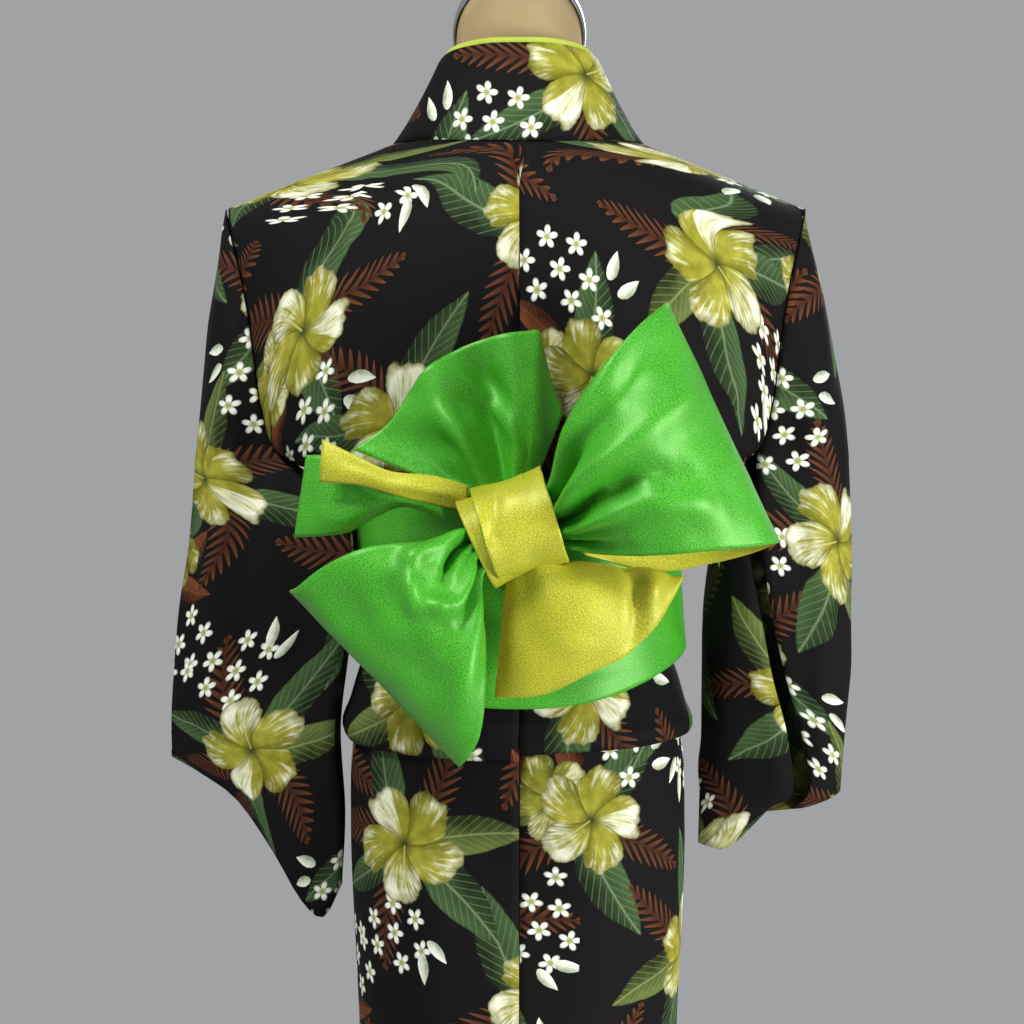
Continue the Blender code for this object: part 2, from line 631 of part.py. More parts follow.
def torso(material):
    """The limbless form: one closed loft from its flat underside to the slanted neck."""
    work = bmesh.new()
    rings = []
    for row in FORM_ROWS:
        ring = []
        for c in range(FORM_COLUMNS):
            degrees = 360 * c / FORM_COLUMNS
            turn = degrees if degrees <= 180 else 360 - degrees
            x, y = plan(row.half_width, row.back, row.front, turn)
            ring.append(work.verts.new((x if degrees <= 180 else -x, y, row.z)))
        rings.append(ring)
    top = []
    for c in range(FORM_COLUMNS):
        angle = 2 * math.pi * c / FORM_COLUMNS
        x = NECK_RADIUS * math.sin(angle)
        y = NECK_RADIUS * math.cos(angle)
        top.append(work.verts.new((x, y, NECK_TOP + y * math.tan(NECK_TILT) * 0.9)))
    rings.append(top)
    for low, high in zip(rings, rings[1:]):
        for c in range(FORM_COLUMNS):
            d = (c + 1) % FORM_COLUMNS
            work.faces.new((low[c], low[d], high[d], high[c]))
    work.faces.new(rings[0])
    work.faces.new(rings[-1])
    bmesh.ops.recalc_face_normals(work, faces=work.faces)
    mesh = bpy.data.meshes.new("form_torso")
    work.to_mesh(mesh)
    work.free()
    return link_piece("form_torso", mesh, material)


def add_bevel(piece, width, segments=3):
    bevel = piece.modifiers.new("edge", "BEVEL")
    bevel.width = width
    bevel.segments = segments
    bevel.limit_method = "ANGLE"
    return piece


def cylinder(name, radius, low, high, material, sides=32):
    work = bmesh.new()
    bmesh.ops.create_cone(work, cap_ends=True, segments=sides, radius1=radius, radius2=radius,
                          depth=high - low)
    bmesh.ops.translate(work, verts=work.verts, vec=(0, 0, (low + high) / 2))
    mesh = bpy.data.meshes.new(name)
    work.to_mesh(mesh)
    work.free()
    return link_piece(name, mesh, material)


def neck_cap(material):
    """A rimmed metal plate on the slanted neck."""
    slope = math.atan(math.tan(NECK_TILT) * 0.9)
    piece = cylinder("form_neck_cap", 1.0, 0.0, 0.009, material)
    stretch = Matrix.Diagonal((NECK_RADIUS + 0.004, (NECK_RADIUS + 0.003) / math.cos(slope), 1.0, 1.0))
    lift = Matrix.Translation((0, 0, 0.0006))
    piece.data.transform(Matrix.Translation((0, 0, NECK_TOP)) @ Matrix.Rotation(slope, 4, "X") @ lift @ stretch)
    return add_bevel(piece, 0.003)


def base(material):
    """A turned iron plate, flat underneath."""
    profile = [(0.0, 0.020), (0.030, 0.020), (0.060, 0.015), (0.170, 0.010), (BASE_RADIUS - 0.003, 0.008),
               (BASE_RADIUS, 0.005), (BASE_RADIUS, 0.0), (0.0, 0.0)]
    mesh = bpy.data.meshes.new("form_base")
    points = [(x, 0.0, z) for x, z in profile]
    mesh.from_pydata(points, [(i, i + 1) for i in range(len(points) - 1)], [])
    piece = link_piece("form_base", mesh, material)
    screw = piece.modifiers.new("turned", "SCREW")
    screw.steps = 48
    screw.render_steps = 48
    screw.use_merge_vertices = True
    screw.merge_threshold = 0.0001
    return piece


def main():
    clear_scene()
    bpy.context.scene.collection.children.link(parts)
    cotton = make_material("printed_cotton", (0.010, 0.009, 0.009), 0.85)
    lime = make_material("lime_cotton", (0.35, 0.45, 0.05), 0.7)
    green = make_material("green_satin", (0.07, 0.40, 0.04), 0.4)
    yellow = make_material("yellow_satin", (0.45, 0.42, 0.02), 0.4)
    jersey = make_material("tan_jersey", (0.42, 0.34, 0.20), 0.9)
    chrome = make_material("chrome", (0.60, 0.60, 0.60), 0.2, 1.0)
    iron = make_material("painted_iron", (0.03, 0.03, 0.03), 0.5)
    for side in (1, -1):
        body_panel(side, cotton)
        okumi(side, cotton)
        sleeve(side, cotton)
    collar(cotton)
    collar_trim(lime)
    band(green)
    knot(yellow)
    tied_piece("obi_loop_upper", UPPER_LOOP, green)
    tied_piece("obi_loop_lower", LOWER_LOOP, green)
    tied_piece("obi_tail_lower", LOWER_TAIL, yellow)
    tied_piece("obi_tail_fan", FAN_TAIL, green)
    tied_piece("obi_tail_strip", STRIP_TAIL, yellow, 3)
    tied_piece("obi_tail_flap", SIDE_FLAP, green, 3)
    torso(jersey)
    neck_cap(chrome)
    base(iron)
    cylinder("form_pole", POLE_RADIUS, 0.020 + SEAM_GAP, TORSO_BOTTOM - SEAM_GAP, chrome, 20)


main()
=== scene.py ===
import math

import bpy
import bmesh
import numpy as np
from mathutils import Matrix, Vector


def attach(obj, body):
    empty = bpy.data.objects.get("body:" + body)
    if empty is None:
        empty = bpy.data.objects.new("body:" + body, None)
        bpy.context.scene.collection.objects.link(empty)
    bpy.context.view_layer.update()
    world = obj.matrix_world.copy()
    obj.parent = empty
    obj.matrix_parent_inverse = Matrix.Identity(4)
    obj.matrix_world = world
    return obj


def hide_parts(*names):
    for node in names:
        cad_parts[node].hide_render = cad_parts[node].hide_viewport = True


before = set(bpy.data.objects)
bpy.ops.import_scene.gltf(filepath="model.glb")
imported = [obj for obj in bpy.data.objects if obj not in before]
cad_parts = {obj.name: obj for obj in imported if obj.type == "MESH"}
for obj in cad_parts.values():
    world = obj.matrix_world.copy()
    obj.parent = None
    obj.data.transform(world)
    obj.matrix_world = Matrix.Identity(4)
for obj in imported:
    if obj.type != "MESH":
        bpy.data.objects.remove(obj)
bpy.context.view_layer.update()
bpy.ops.object.select_all(action="DESELECT")


def metres(table, lengths=9):
    # tables are in millimetres; of each row only the first few columns are lengths
    if isinstance(table, dict):
        return {key: metres(rows, lengths) for key, rows in table.items()}
    return [metres(v, lengths) if isinstance(v, (list, tuple)) else v / 1000 if i < lengths else v
            for i, v in enumerate(table)]


# the robe: rows run from the shoulder ridge down to the hem; left lies over right, so each
# layer of cloth has its own distance out on each side
robe = {
    "roundness": 0.87,          # exponent of the waist outline, 1 is an ellipse
    "seamGap": 0.0004,
    "frontLap": 0.0034,         # half the distance between the crossing fronts
    "underarmRow": 8,
    "overlapRow": 8,            # first row with an overlap piece
    "waistRow": 10,
    "shoulderReach": {1: 1.0, -1: 0.975},
    "thickness": 0.0009,
    "fineStep": 0.0075,
    "turnedGap": 0.0032,        # between the layers, at the tuck's fold and tie
    "sideBlend": (55, 30),      # degrees where the sides start to differ, and over how many
    "printShift": {1: (0.030, 0.020), -1: (0.462, 0.300)},
    "okumiPrintShift": (0.11, 0.07),
    "unevenness": (0.16, 0.0016),           # size and depth of the cloth's own waves
    "underarmHeight": 1.05,
    "seamEase": 0.025,                      # creases die away this close to the sleeve seam
    "shoulderEase": (1.31, 0.08, 0.15),     # waves grow below this height, over this much, from this share
    "tuck": (0.835, 0.05, 0.45),            # its middle, its reach and how much it stills the creases
    "layers": {
        "skirt": {1: 0.0030, -1: 0.0},
        "under": {1: 0.0058, -1: 0.0088},
        "outer": {1: 0.0146, -1: 0.0116},
        "upper": {1: 0.0142, -1: 0.0096},
    },
}

# inner edge height, side edge height, depth, half width, inner edge x, side edge angle, layer
backRows = metres([
    (1333, 1278, 0, 262, 114, 90, "ridge"),
    (1332, 1273, 36, 262, 107, 86, "ridge"),
    (1330, 1262, 68, 262, 88, 82, "ridge"),
    (1327, 1246, 92, 260, 56, 78, "ridge"),
    (1325, 1222, 106, 256, 0, 75, "ridge"),
    (1285, 1185, 118, 250, 0, 73, "ridge"),
    (1225, 1138, 124, 243, 0, 73, "ridge"),
    (1150, 1095, 122, 236, 0, 74, "ridge"),
    (1090, 1060, 114, 222, 0, 76, "ridge"),
    (1062, 1047, 108, 188, 0, 88, "upper"),
    (1040, 1040, 99, 129, 0, 105, "upper"),
    (990, 990, 96, 120, 0, 105, "upper"),
    (890, 895, 94, 119, 0, 105, "upper"),
    (855, 862, 97, 131, 0, 105, "outer"),
    (828, 835, 105, 139, 0, 105, "outer"),
    (806, 812, 111, 146, 0, 105, "outer"),
    (799, 805, 111, 146, 0, 105, "fold"),
    (806, 812, 111, 146, 0, 105, "under"),
    (828, 835, 105, 139, 0, 105, "under"),
    (855, 862, 97, 131, 0, 105, "under"),
    (864, 871, 96, 130, 0, 105, "tie"),
    (855, 862, 97, 131, 0, 105, "skirt"),
    (828, 835, 105, 139, 0, 105, "skirt"),
    (800, 806, 111, 146, 0, 105, "skirt"),
    (720, 722, 114, 151, 0, 105, "skirt"),
    (540, 540, 110, 144, 0, 105, "skirt"),
    (300, 300, 105, 138, 0, 105, "skirt"),
    (70, 70, 102, 134, 0, 105, "skirt"),
], 5)

# inner edge height, depth, inner edge x, overlap seam angle, free edge angle
frontRows = metres([
    (1333, 0, 114, 0, 0),
    (1320, 36, 111, 0, 0),
    (1292, 64, 104, 0, 0),
    (1255, 84, 93, 0, 0),
    (1212, 96, 78, 0, 0),
    (1170, 102, 62, 0, 0),
    (1122, 104, 42, 0, 0),
    (1085, 102, 30, 0, 0),
    (1062, 101, 20, 0, 183),
    (1046, 90, 0, 175, 186),
    (1030, 89, 0, 178, 190),
    (990, 87, 0, 183, 197),
    (895, 88, 0, 190, 215),
    (862, 91, 0, 193, 221),
    (835, 97, 0, 195, 226),
    (812, 101, 0, 196, 230),
    (805, 101, 0, 196, 231),
    (812, 101, 0, 196, 232),
    (835, 97, 0, 196, 236),
    (862, 91, 0, 197, 241),
    (871, 90, 0, 197, 243),
    (862, 91, 0, 197, 245),
    (835, 97, 0, 198, 251),
    (806, 101, 0, 198, 256),
    (722, 102, 0, 198, 262),
    (540, 100, 0, 198, 262),
    (300, 98, 0, 198, 262),
    (70, 96, 0, 198, 262),
], 3)

collarCut = {
    "width": 0.054,
    "parts": (0.0, 0.18, 0.36, 0.53, 0.70, 0.85, 1.0),
    "seamPart": 0.035,
    "rise": 0.016,
    "waistRise": 0.001,
    "ease": {8: 0.012, 9: 0.006},   # the rise dies away on these rows
    "endRow": 14,
    "seamStart": 0.0014,            # from the seam to the collar's own edge
    "fineStep": 0.006,
    "thickness": 0.0012,            # folded double
    "trimShowing": 0.006,
    "trimDepth": 0.030,
    "trimGap": 0.0032,
    "trimStations": 8,
    "trimStep": 0.005,
    # free edge from centre back round the neck: x, y, z
    "freeEdge": metres([
        (0, 83, 1412), (36, 78, 1411), (62, 58, 1407), (74, 26, 1396), (78, -8, 1372), (72, -40, 1338),
        (60, -68, 1298), (46, -86, 1256), (30, -97, 1212),
    ]),
}

sleeveCut = {
    "columns": 6,
    "fineStep": 0.0065,
    "unevenness": (0.11, 0.0022),
    "creaseDepth": 1.4,             # one factor for every crease of the sleeves
    "bottomEase": (0.70, 0.10, 0.15),
    "printShift": (0.05, 0.16),
    "cuffRows": (9, 12),
    "cuffOpening": 0.007,
    "seamGap": (0.0028, 0.0016),    # from the body, on the shoulder and below it
    "outerX": metres({
        1: [264, 266, 268, 270, 273.5, 280, 285, 290, 293.5],
        -1: [255, 258, 261, 265, 272, 280, 288, 296, 300],
    }),
    "drop": metres([2, 6, 8, 9, 9, 8, 7, 6, 6]),
    # inner height, outer height, edge x, outer x, depth, inner fold x, free edge x, free edge y
    "rows": metres({
        1: [
            (1000, 980, 151, 301, 52, 151, 151, 0), (930, 924, 150, 309, 50, 150, 150, 0),
            (860, 872, 160, 314, 42, 160, 160, 0), (800, 830, 166, 317, 34, 166, 166, 0),
            (730, 802, 161, 318, 18, 161, 161, 0),
        ],
        -1: [
            (1000, 990, 213, 301, 52, 182, 200, 52), (930, 924, 222, 302, 48, 170, 212, 50),
            (860, 868, 238, 303, 40, 168, 226, 44), (800, 816, 256, 299, 28, 167, 242, 34),
            (745, 768, 262, 296, 14, 166, 246, 20),
        ],
    }),
    "bottom": metres({
        1: [(163, 662), (184, 624), (208, 656), (245, 728), (285, 760), (318, 780)],
        -1: [(250, 731), (262, 732), (272, 735), (283, 739), (290, 743), (295, 748)],
    }),
    "corner": metres([(250, 731), (224, 734), (196, 702), (181, 688), (165, 700)]),
    "cornerEnd": metres([(190, 8, 696), (232, 10, 738)]),
}


def blend(start, end, amount):
    return start + (end - start) * amount


def power(value, exponent):
    return math.copysign(abs(value) ** exponent, value)


def plan(halfWidth, back, front, degrees):
    angle = math.radians(degrees)
    across = halfWidth * power(math.sin(angle), robe["roundness"])
    along = power(math.cos(angle), robe["roundness"])
    return across, along * (back if along > 0 else front)


def angleOf(x, halfWidth):
    return math.degrees(math.asin(min(1.0, (x / halfWidth) ** (1 / robe["roundness"]))))


def layerOffset(layer, side, degrees):
    if layer == "ridge":
        return 0.0
    if layer == "fold":
        return (layerOffset("under", side, degrees) + layerOffset("outer", side, degrees)) / 2
    if layer == "tie":
        return (layerOffset("skirt", side, degrees) + layerOffset("under", side, degrees)) / 2
    pair = robe["layers"][layer]
    start, over = robe["sideBlend"]
    amount = min(1.0, max(0.0, (degrees - start) / over))
    return blend((pair[1] + pair[-1]) / 2, pair[side], amount)


def surface(index, side, degrees, front):
    # a point of the robe on one row, at an angle from centre back, on its own layer
    backIn, sideOut, backDepth, wide, backX, turn, layer = backRows[index]
    frontIn, frontDepth, frontX, seam, edge = frontRows[index]
    out = layerOffset(layer, side, degrees)
    x, y = plan(wide + out, backDepth + out * (backDepth > 0), frontDepth + out * (frontDepth > 0), degrees)
    zIn, xIn = (frontIn, frontX) if front else (backIn, backX)
    amount = min(1.0, max(0.0, (abs(x) - xIn) / (wide + out - xIn)))
    if degrees > 180:
        amount = 0.0
    z = blend(zIn, sideOut, amount)
    if layer in ("fold", "tie"):
        z -= side * robe["turnedGap"]
    if layer == "ridge":
        x *= blend(1.0, robe["shoulderReach"][side], min(1.0, abs(x) / 0.26))
    if front and layer == "ridge" and frontDepth > 0:
        y -= side * robe["frontLap"] * max(0.0, 1 - abs(x) / 0.40)
    return Vector((x * side, y, z))


def surfaceAbove(index, side, degrees, lift):
    low = surface(index, side, degrees, True)
    high = surface(index - 1, side, degrees, True)
    step = max(0.002, high.z - low.z)
    if step < lift:
        top = surface(index - 2, side, degrees, True)
        return high.lerp(top, min(1.0, (lift - step) / max(0.002, top.z - high.z)))
    return low.lerp(high, lift / step)


def panelRow(index, side, front, columns=7):
    wide, backX, turn = backRows[index][3], backRows[index][4], backRows[index][5]
    frontX, seam = frontRows[index][2], frontRows[index][3]
    if not front:
        start, end = angleOf(backX, wide), turn
    elif seam:
        start, end = seam, max(turn, 180 - turn) + 0.3
    else:
        start, end = 180 - angleOf(frontX, wide), 180 - turn
    row = [surface(index, side, blend(start, end, c / columns), front) for c in range(columns + 1)]
    if not front and backX == 0:
        row[0].x = side * robe["seamGap"]
    return row


def okumiRow(index, side, columns=6):
    wide = backRows[index][3]
    frontX, seam, edge = frontRows[index][2:5]
    start = (seam or 180 - angleOf(frontX, wide)) + math.degrees(0.0007 / wide) * 1.6
    return [surface(index, side, blend(start, edge, c / columns), True) for c in range(columns + 1)]


def collarStations(side):
    stations = []
    neck = [panelRow(i, side, False)[0] for i in (4, 3, 2, 1)]
    neck += [panelRow(i, side, True)[0] for i in (0, 1, 2, 3, 4)]
    neck[0].x = 0.0
    for seam, (x, y, z) in zip(neck, collarCut["freeEdge"]):
        edge = Vector((x * side, y - side * robe["frontLap"] * (y < 0), z))
        start = seam + (edge - seam).normalized() * collarCut["seamStart"]
        stations.append([start.lerp(edge, part) for part in collarCut["parts"]])
    for i in range(5, collarCut["endRow"] + 1):
        wide = backRows[i][3]
        angle = frontRows[i][4] or 180 - angleOf(frontRows[i][2], wide)
        width = math.degrees(collarCut["width"] / (wide * 0.92)) * 0.93
        rise = collarCut["rise"] if i < robe["waistRow"] else collarCut["waistRise"]
        rise = collarCut["ease"].get(i, rise)
        row = []
        for part in collarCut["parts"]:
            reach = blend(collarCut["seamPart"], 1.0, part)
            row.append(surfaceAbove(i, side, angle + width * reach, rise * part))
        stations.append(row)
    return stations


def trimStations(side):
    rows = []
    for station in collarStations(side)[:collarCut["trimStations"]]:
        seam, free = station[0], station[-1]
        up = (free - seam).normalized()
        inward = Vector((-free.x, -free.y, 0.0)).normalized()
        inward = (inward - up * inward.dot(up)).normalized()
        gap = collarCut["trimGap"]
        top = free + up * collarCut["trimShowing"] + inward * gap * 0.8
        middle = free - up * 0.004 + inward * gap
        low = free - up * collarCut["trimDepth"] + inward * gap * 2.2
        rows.append([top, middle, low])
    return rows


def alongOutline(points, amount):
    place = amount * (len(points) - 1)
    first = min(int(place), len(points) - 2)
    part = place - first
    return tuple(blend(a, b, part) for a, b in zip(points[first], points[first + 1]))


def sleeveNets(side):
    # the back half, the front half and, on the right, the part of the front that turns in
    back, front, turned = [], [], []
    columns = sleeveCut["columns"]
    rows = sleeveCut["rows"][side]
    low, high = sleeveCut["cuffRows"]
    for index in range(robe["underarmRow"] + len(rows) + 1):
        if index <= robe["underarmRow"]:
            gap = sleeveCut["seamGap"][0 if index < 2 else 1]
            backEdge = panelRow(index, side, False)[-1] + Vector((side * gap, 0, 0))
            frontEdge = panelRow(index, side, True)[-1] + Vector((side * gap, 0, 0))
            xOut, zOut = sleeveCut["outerX"][side][index], backEdge.z - sleeveCut["drop"][index]
            fold = curl = frontEdge
        else:
            zIn, zOut, xEdge, xOut, depth, xFold, xCurl, yCurl = rows[index - robe["underarmRow"] - 1]
            backEdge = Vector((side * xEdge, depth, zIn))
            frontEdge = Vector((side * xEdge, -depth * 0.9, zIn))
            fold = Vector((side * xFold, 0.0, zIn))
            curl = Vector((side * xCurl, yCurl, zIn))
        outer = Vector((side * xOut, 0.0, zOut))
        for net, edge in ((back, backEdge), (front, frontEdge)):
            line = []
            for c in range(columns + 1):
                amount = c / columns
                point = edge.lerp(outer, amount)
                point.y = edge.y * (1 - amount ** 3) ** 0.6
                line.append(point)
            if low <= index <= high:
                opening = sleeveCut["cuffOpening"] * math.sin(math.pi * (index - low + 0.5) / 4)
                line[-1].y += opening if net is back else -opening
            net.append(line)
        if index > robe["underarmRow"]:
            middle = Vector((blend(frontEdge.x, fold.x, 0.55), frontEdge.y * 0.92, frontEdge.z))
            bend = Vector((blend(frontEdge.x, fold.x, 0.96), frontEdge.y * 0.45, frontEdge.z))
            inner = Vector((blend(fold.x, curl.x, 0.30), blend(fold.y, curl.y, 0.75), frontEdge.z))
            turned.append([frontEdge, middle, bend, fold, inner, curl])
        else:
            turned.append([frontEdge.copy() for c in range(6)])
    bottom = [alongOutline(sleeveCut["bottom"][side], c / columns) for c in range(columns + 1)]
    for net in (back, front):
        net.append([Vector((side * x, 0.0, z)) for x, z in bottom])
    if side > 0:
        return [back, front]
    corner = [alongOutline(sleeveCut["corner"], (c + 1) / 3) for c in range(3)]
    last = [Vector((side * bottom[0][0], 0.0, bottom[0][1]))]
    last += [Vector((-x, -0.004, z)) for x, z in corner]
    last[-1].y = 0.0
    last += [Vector((-x, y, z)) for x, y, z in sleeveCut["cornerEnd"]]
    turned.append(last)
    return [back, front, turned]


def spacing(net):
    # mean distances between neighbouring rows and between neighbouring columns
    rows = np.linalg.norm(np.diff(net, axis=0), axis=2).mean(axis=1)
    columns = np.linalg.norm(np.diff(net, axis=1), axis=2).mean(axis=0)
    return rows, columns


def hermite(points, gaps, fineStep, closed=False):
    # smooth rows through the net's own rows, no further than fineStep apart
    if closed:
        around = np.linalg.norm(points[0] - points[-1], axis=1).mean()
        gaps = np.concatenate([gaps[-1:], [around], gaps, [around], gaps[:2]])
        points = np.concatenate([points[-2:], points, points[:3]])
    gaps = np.maximum(gaps, 1e-5)
    slopes = np.diff(points, axis=0) / gaps[:, None, None]
    tangents = np.empty_like(points)
    weight = (gaps[:-1] / (gaps[:-1] + gaps[1:]))[:, None, None]
    tangents[1:-1] = slopes[:-1] * (1 - weight) + slopes[1:] * weight
    tangents[0], tangents[-1] = slopes[0], slopes[-1]
    rows = []
    first, last = (2, len(points) - 3) if closed else (0, len(points) - 1)
    for i in range(first, last):
        count = max(1, int(math.ceil(gaps[i] / fineStep)))
        for step in range(count):
            t = step / count
            t2, t3 = t * t, t * t * t
            rows.append((2 * t3 - 3 * t2 + 1) * points[i] + (t3 - 2 * t2 + t) * gaps[i] * tangents[i]
                        + (3 * t2 - 2 * t3) * points[i + 1] + (t3 - t2) * gaps[i] * tangents[i + 1])
    if not closed:
        rows.append(points[-1])
    return np.array(rows)


def refine(net, fineStep, like=None, closedColumns=False):
    # like is another net whose spacing this one shares, so that their common edges meet
    net = np.array([[tuple(p) for p in row] for row in net])
    model = net if like is None else np.array([[tuple(p) for p in row] for row in like])
    rows, columns = spacing(model)
    tall = hermite(net, rows, fineStep)
    if tall.shape[1] - 1 != len(columns):
        columns = spacing(net)[1]
    wide = hermite(np.swapaxes(tall, 0, 1), columns, fineStep, closedColumns)
    return np.swapaxes(wide, 0, 1)


def flatCut(grid):
    # metres along the grain and across it, as the piece lies flat
    across = np.linalg.norm(np.diff(grid, axis=1), axis=2)
    along = np.linalg.norm(np.diff(grid, axis=0), axis=2)
    u = np.concatenate([np.zeros((len(grid), 1)), np.cumsum(across, axis=1)], axis=1)
    v = np.concatenate([np.zeros((1, grid.shape[1])), np.cumsum(along, axis=0)], axis=0)
    return np.stack([u, v], axis=2)


def meshPiece(name, work, materials):
    mesh = bpy.data.meshes.new(name)
    work.to_mesh(mesh)
    work.free()
    for material in materials:
        mesh.materials.append(material)
    piece = bpy.data.objects.new(name, mesh)
    bpy.context.scene.collection.objects.link(piece)
    return piece


def makeSheet(name, patches, materials, thickness, shift=None, outFrom=None,
              printShift=(0, 0), closed=False):
    # welds the patches, moves the cloth into its folds and gives it a wall
    work = bmesh.new()
    layer = work.loops.layers.uv.new("flatCut")
    for grid, flat in patches:
        count = grid.shape[1]
        made = [[work.verts.new(p) for p in row] for row in grid]
        for r in range(len(grid) - 1):
            for c in range(count if closed else count - 1):
                d = (c + 1) % count
                face = work.faces.new((made[r][c], made[r][d], made[r + 1][d], made[r + 1][c]))
                corners = ((r, c), (r, d), (r + 1, d), (r + 1, c))
                for loop, (i, j) in zip(face.loops, corners):
                    place = flat[i, j].copy()
                    if closed and j == 0 and c == count - 1:
                        place[0] = flat[i, count - 1][0] + (flat[i, 1][0] - flat[i, 0][0])
                    loop[layer].uv = (place[0] + printShift[0], place[1] + printShift[1])
    bmesh.ops.remove_doubles(work, verts=work.verts, dist=0.00022)
    bmesh.ops.recalc_face_normals(work, faces=work.faces)
    centre = Vector(outFrom) if outFrom is not None else Vector((0, 0, 0))
    facing = 0.0
    for face in work.faces:
        middle = face.calc_center_median()
        away = middle - centre
        if outFrom is None:
            away.z = 0.0
        facing += face.normal.dot(away) * face.calc_area()
    if facing < 0:
        bmesh.ops.reverse_faces(work, faces=work.faces)
    piece = meshPiece(name, work, materials)
    mesh = piece.data
    if shift is not None:
        count = len(mesh.vertices)
        places = np.empty(count * 3)
        mesh.vertices.foreach_get("co", places)
        normals = np.empty(count * 3)
        mesh.vertex_normals.foreach_get("vector", normals)
        corners = np.empty(len(mesh.loops), dtype=int)
        mesh.loops.foreach_get("vertex_index", corners)
        flats = np.empty(len(mesh.loops) * 2)
        mesh.uv_layers[0].uv.foreach_get("vector", flats)
        uv = np.zeros((count, 2))
        uv[corners] = flats.reshape(-1, 2) - np.array(printShift)
        places = places.reshape(-1, 3)
        normals = normals.reshape(-1, 3)
        places += normals * shift(places, normals, uv)[:, None]
        mesh.vertices.foreach_set("co", places.ravel())
        mesh.update()
    mesh.shade_smooth()
    wall = piece.modifiers.new("wall", "SOLIDIFY")
    wall.thickness = thickness
    wall.offset = 0.0
    wall.use_even_offset = False
    wall.material_offset = len(materials) - 1
    wall.material_offset_rim = len(materials) - 1
    bpy.context.view_layer.objects.active = piece
    bpy.ops.object.modifier_apply(modifier="wall")
    return piece


def segmentField(a, b, points):
    # distance of each point from the segment a to b, and its place along it from 0 to 1
    a, b = np.array(a, float), np.array(b, float)
    run = b - a
    along = np.clip(((points - a) @ run) / (run @ run), 0, 1)
    near = a + along[:, None] * run
    return np.linalg.norm(points - near, axis=1), along


def creaseShift(points, creases):
    # rounded ridges with a shallow hollow on either side, uneven along their length
    total = np.zeros(len(points))
    for x1, z1, x2, z2, width, depth in creases:
        away, along = segmentField((x1, z1), (x2, z2), points)
        ends = np.sin(math.pi * np.clip(along * 0.86 + 0.07, 0, 1)) ** 0.7
        uneven = 0.75 + 0.25 * np.sin(along * 9.0 + x1 * 70)
        ridge = np.exp(-(away / width) ** 2) - 0.35 * np.exp(-(away / width / 2.2) ** 2)
        total += depth * uneven * ends * ridge
    return total


def softNoise(places, size, seed):
    # gentle unevenness of hanging cloth, from a few crossed waves
    total = np.zeros(len(places))
    for k in range(7):
        angle = seed * 1.7 + k * 2.39996
        tilt = math.sin(seed + k * 1.31) * 0.6
        wave = np.array([math.cos(angle), math.sin(angle), tilt]) / size * (0.7 + 0.13 * k)
        total += np.sin(places @ wave * 2 * math.pi + seed * 3 + k * 1.9)
    return total / 7


# creases of the robe: x and height at both ends, half width and depth, positive outwards
robeCreases = metres({
    "back": [
        (116, 1332, 138, 1262, 6, 7), (137, 1280, 150, 1196, 8, 10), (149, 1216, 158, 1070, 10, 11),
        (124, 1300, 138, 1130, 8, -6), (-150, 1270, -188, 1110, 10, 9), (-170, 1210, -160, 1060, 12, -7),
        (-120, 1290, -140, 1060, 18, 4), (60, 1300, 75, 1090, 22, 2), (-70, 1300, -95, 1100, 24, 2.2),
        (200, 1180, 150, 1060, 12, 4), (225, 1120, 165, 1052, 9, -3), (-215, 1160, -150, 1060, 12, 4),
        (20, 1140, 50, 1050, 14, 2.5), (-40, 1150, -60, 1050, 14, -2.2), (-120, 878, -128, 812, 6, -3),
        (-106, 880, -110, 820, 7, 3), (-90, 870, -92, 812, 7, -2.2), (78, 872, 82, 808, 8, 2.6),
        (100, 880, 112, 815, 7, -2.6), (45, 860, 50, 806, 9, -1.8), (66, 790, 78, 300, 18, 3),
        (100, 780, 104, 100, 15, -2.8), (-52, 790, -70, 200, 18, 2.8), (-98, 790, -112, 250, 14, -3),
        (20, 600, 30, 80, 18, -2), (-20, 500, -25, 75, 16, 2),
    ],
    "front": [
        (120, 1300, 85, 1090, 16, 4), (180, 1260, 130, 1070, 18, 4.5), (215, 1180, 150, 1060, 10, -3),
        (-120, 1300, -85, 1090, 16, 4), (-180, 1250, -125, 1070, 18, 4.5), (-215, 1170, -150, 1060, 10, -3),
        (60, 860, 66, 812, 8, 2.8), (100, 865, 108, 815, 8, -2.6), (-50, 860, -52, 812, 8, -2.4),
        (-85, 868, -90, 815, 8, 2.8), (40, 790, 70, 100, 18, 3), (90, 790, 100, 250, 14, -2.8),
        (-30, 780, -60, 200, 18, -2.6), (-80, 790, -88, 90, 14, 3),
    ],
})

sleeveCreases = metres({
    1: [
        (244, 1230, 262, 1020, 12, 6), (262, 1060, 286, 840, 14, 7), (236, 1100, 244, 880, 12, -5),
        (222, 1030, 206, 820, 11, 5.5), (252, 930, 246, 760, 10, -4), (286, 900, 300, 790, 10, -3.5),
        (196, 900, 190, 690, 9, -4), (226, 860, 214, 720, 9, 4), (272, 1180, 290, 1000, 8, -3.5),
    ],
    -1: [
        (-246, 1240, -262, 1060, 12, 6), (-262, 1080, -280, 860, 14, 6.5),
        (-240, 1090, -252, 930, 10, -4.5), (-222, 1040, -200, 860, 12, 5.5), (-190, 980, -184, 760, 12, 5),
        (-204, 900, -200, 740, 9, -4.5), (-286, 980, -290, 800, 10, -4), (-270, 860, -272, 760, 9, 4),
        (-282, 1160, -292, 1020, 8, -3),
    ],
})


def armSeam(heights):
    # distance of the sleeve seam from the middle of the robe at each height
    return np.interp(heights, [1.06, 1.095, 1.138, 1.185, 1.222, 1.262, 1.28],
                     [0.2155, 0.2295, 0.235, 0.242, 0.249, 0.2605, 0.262])


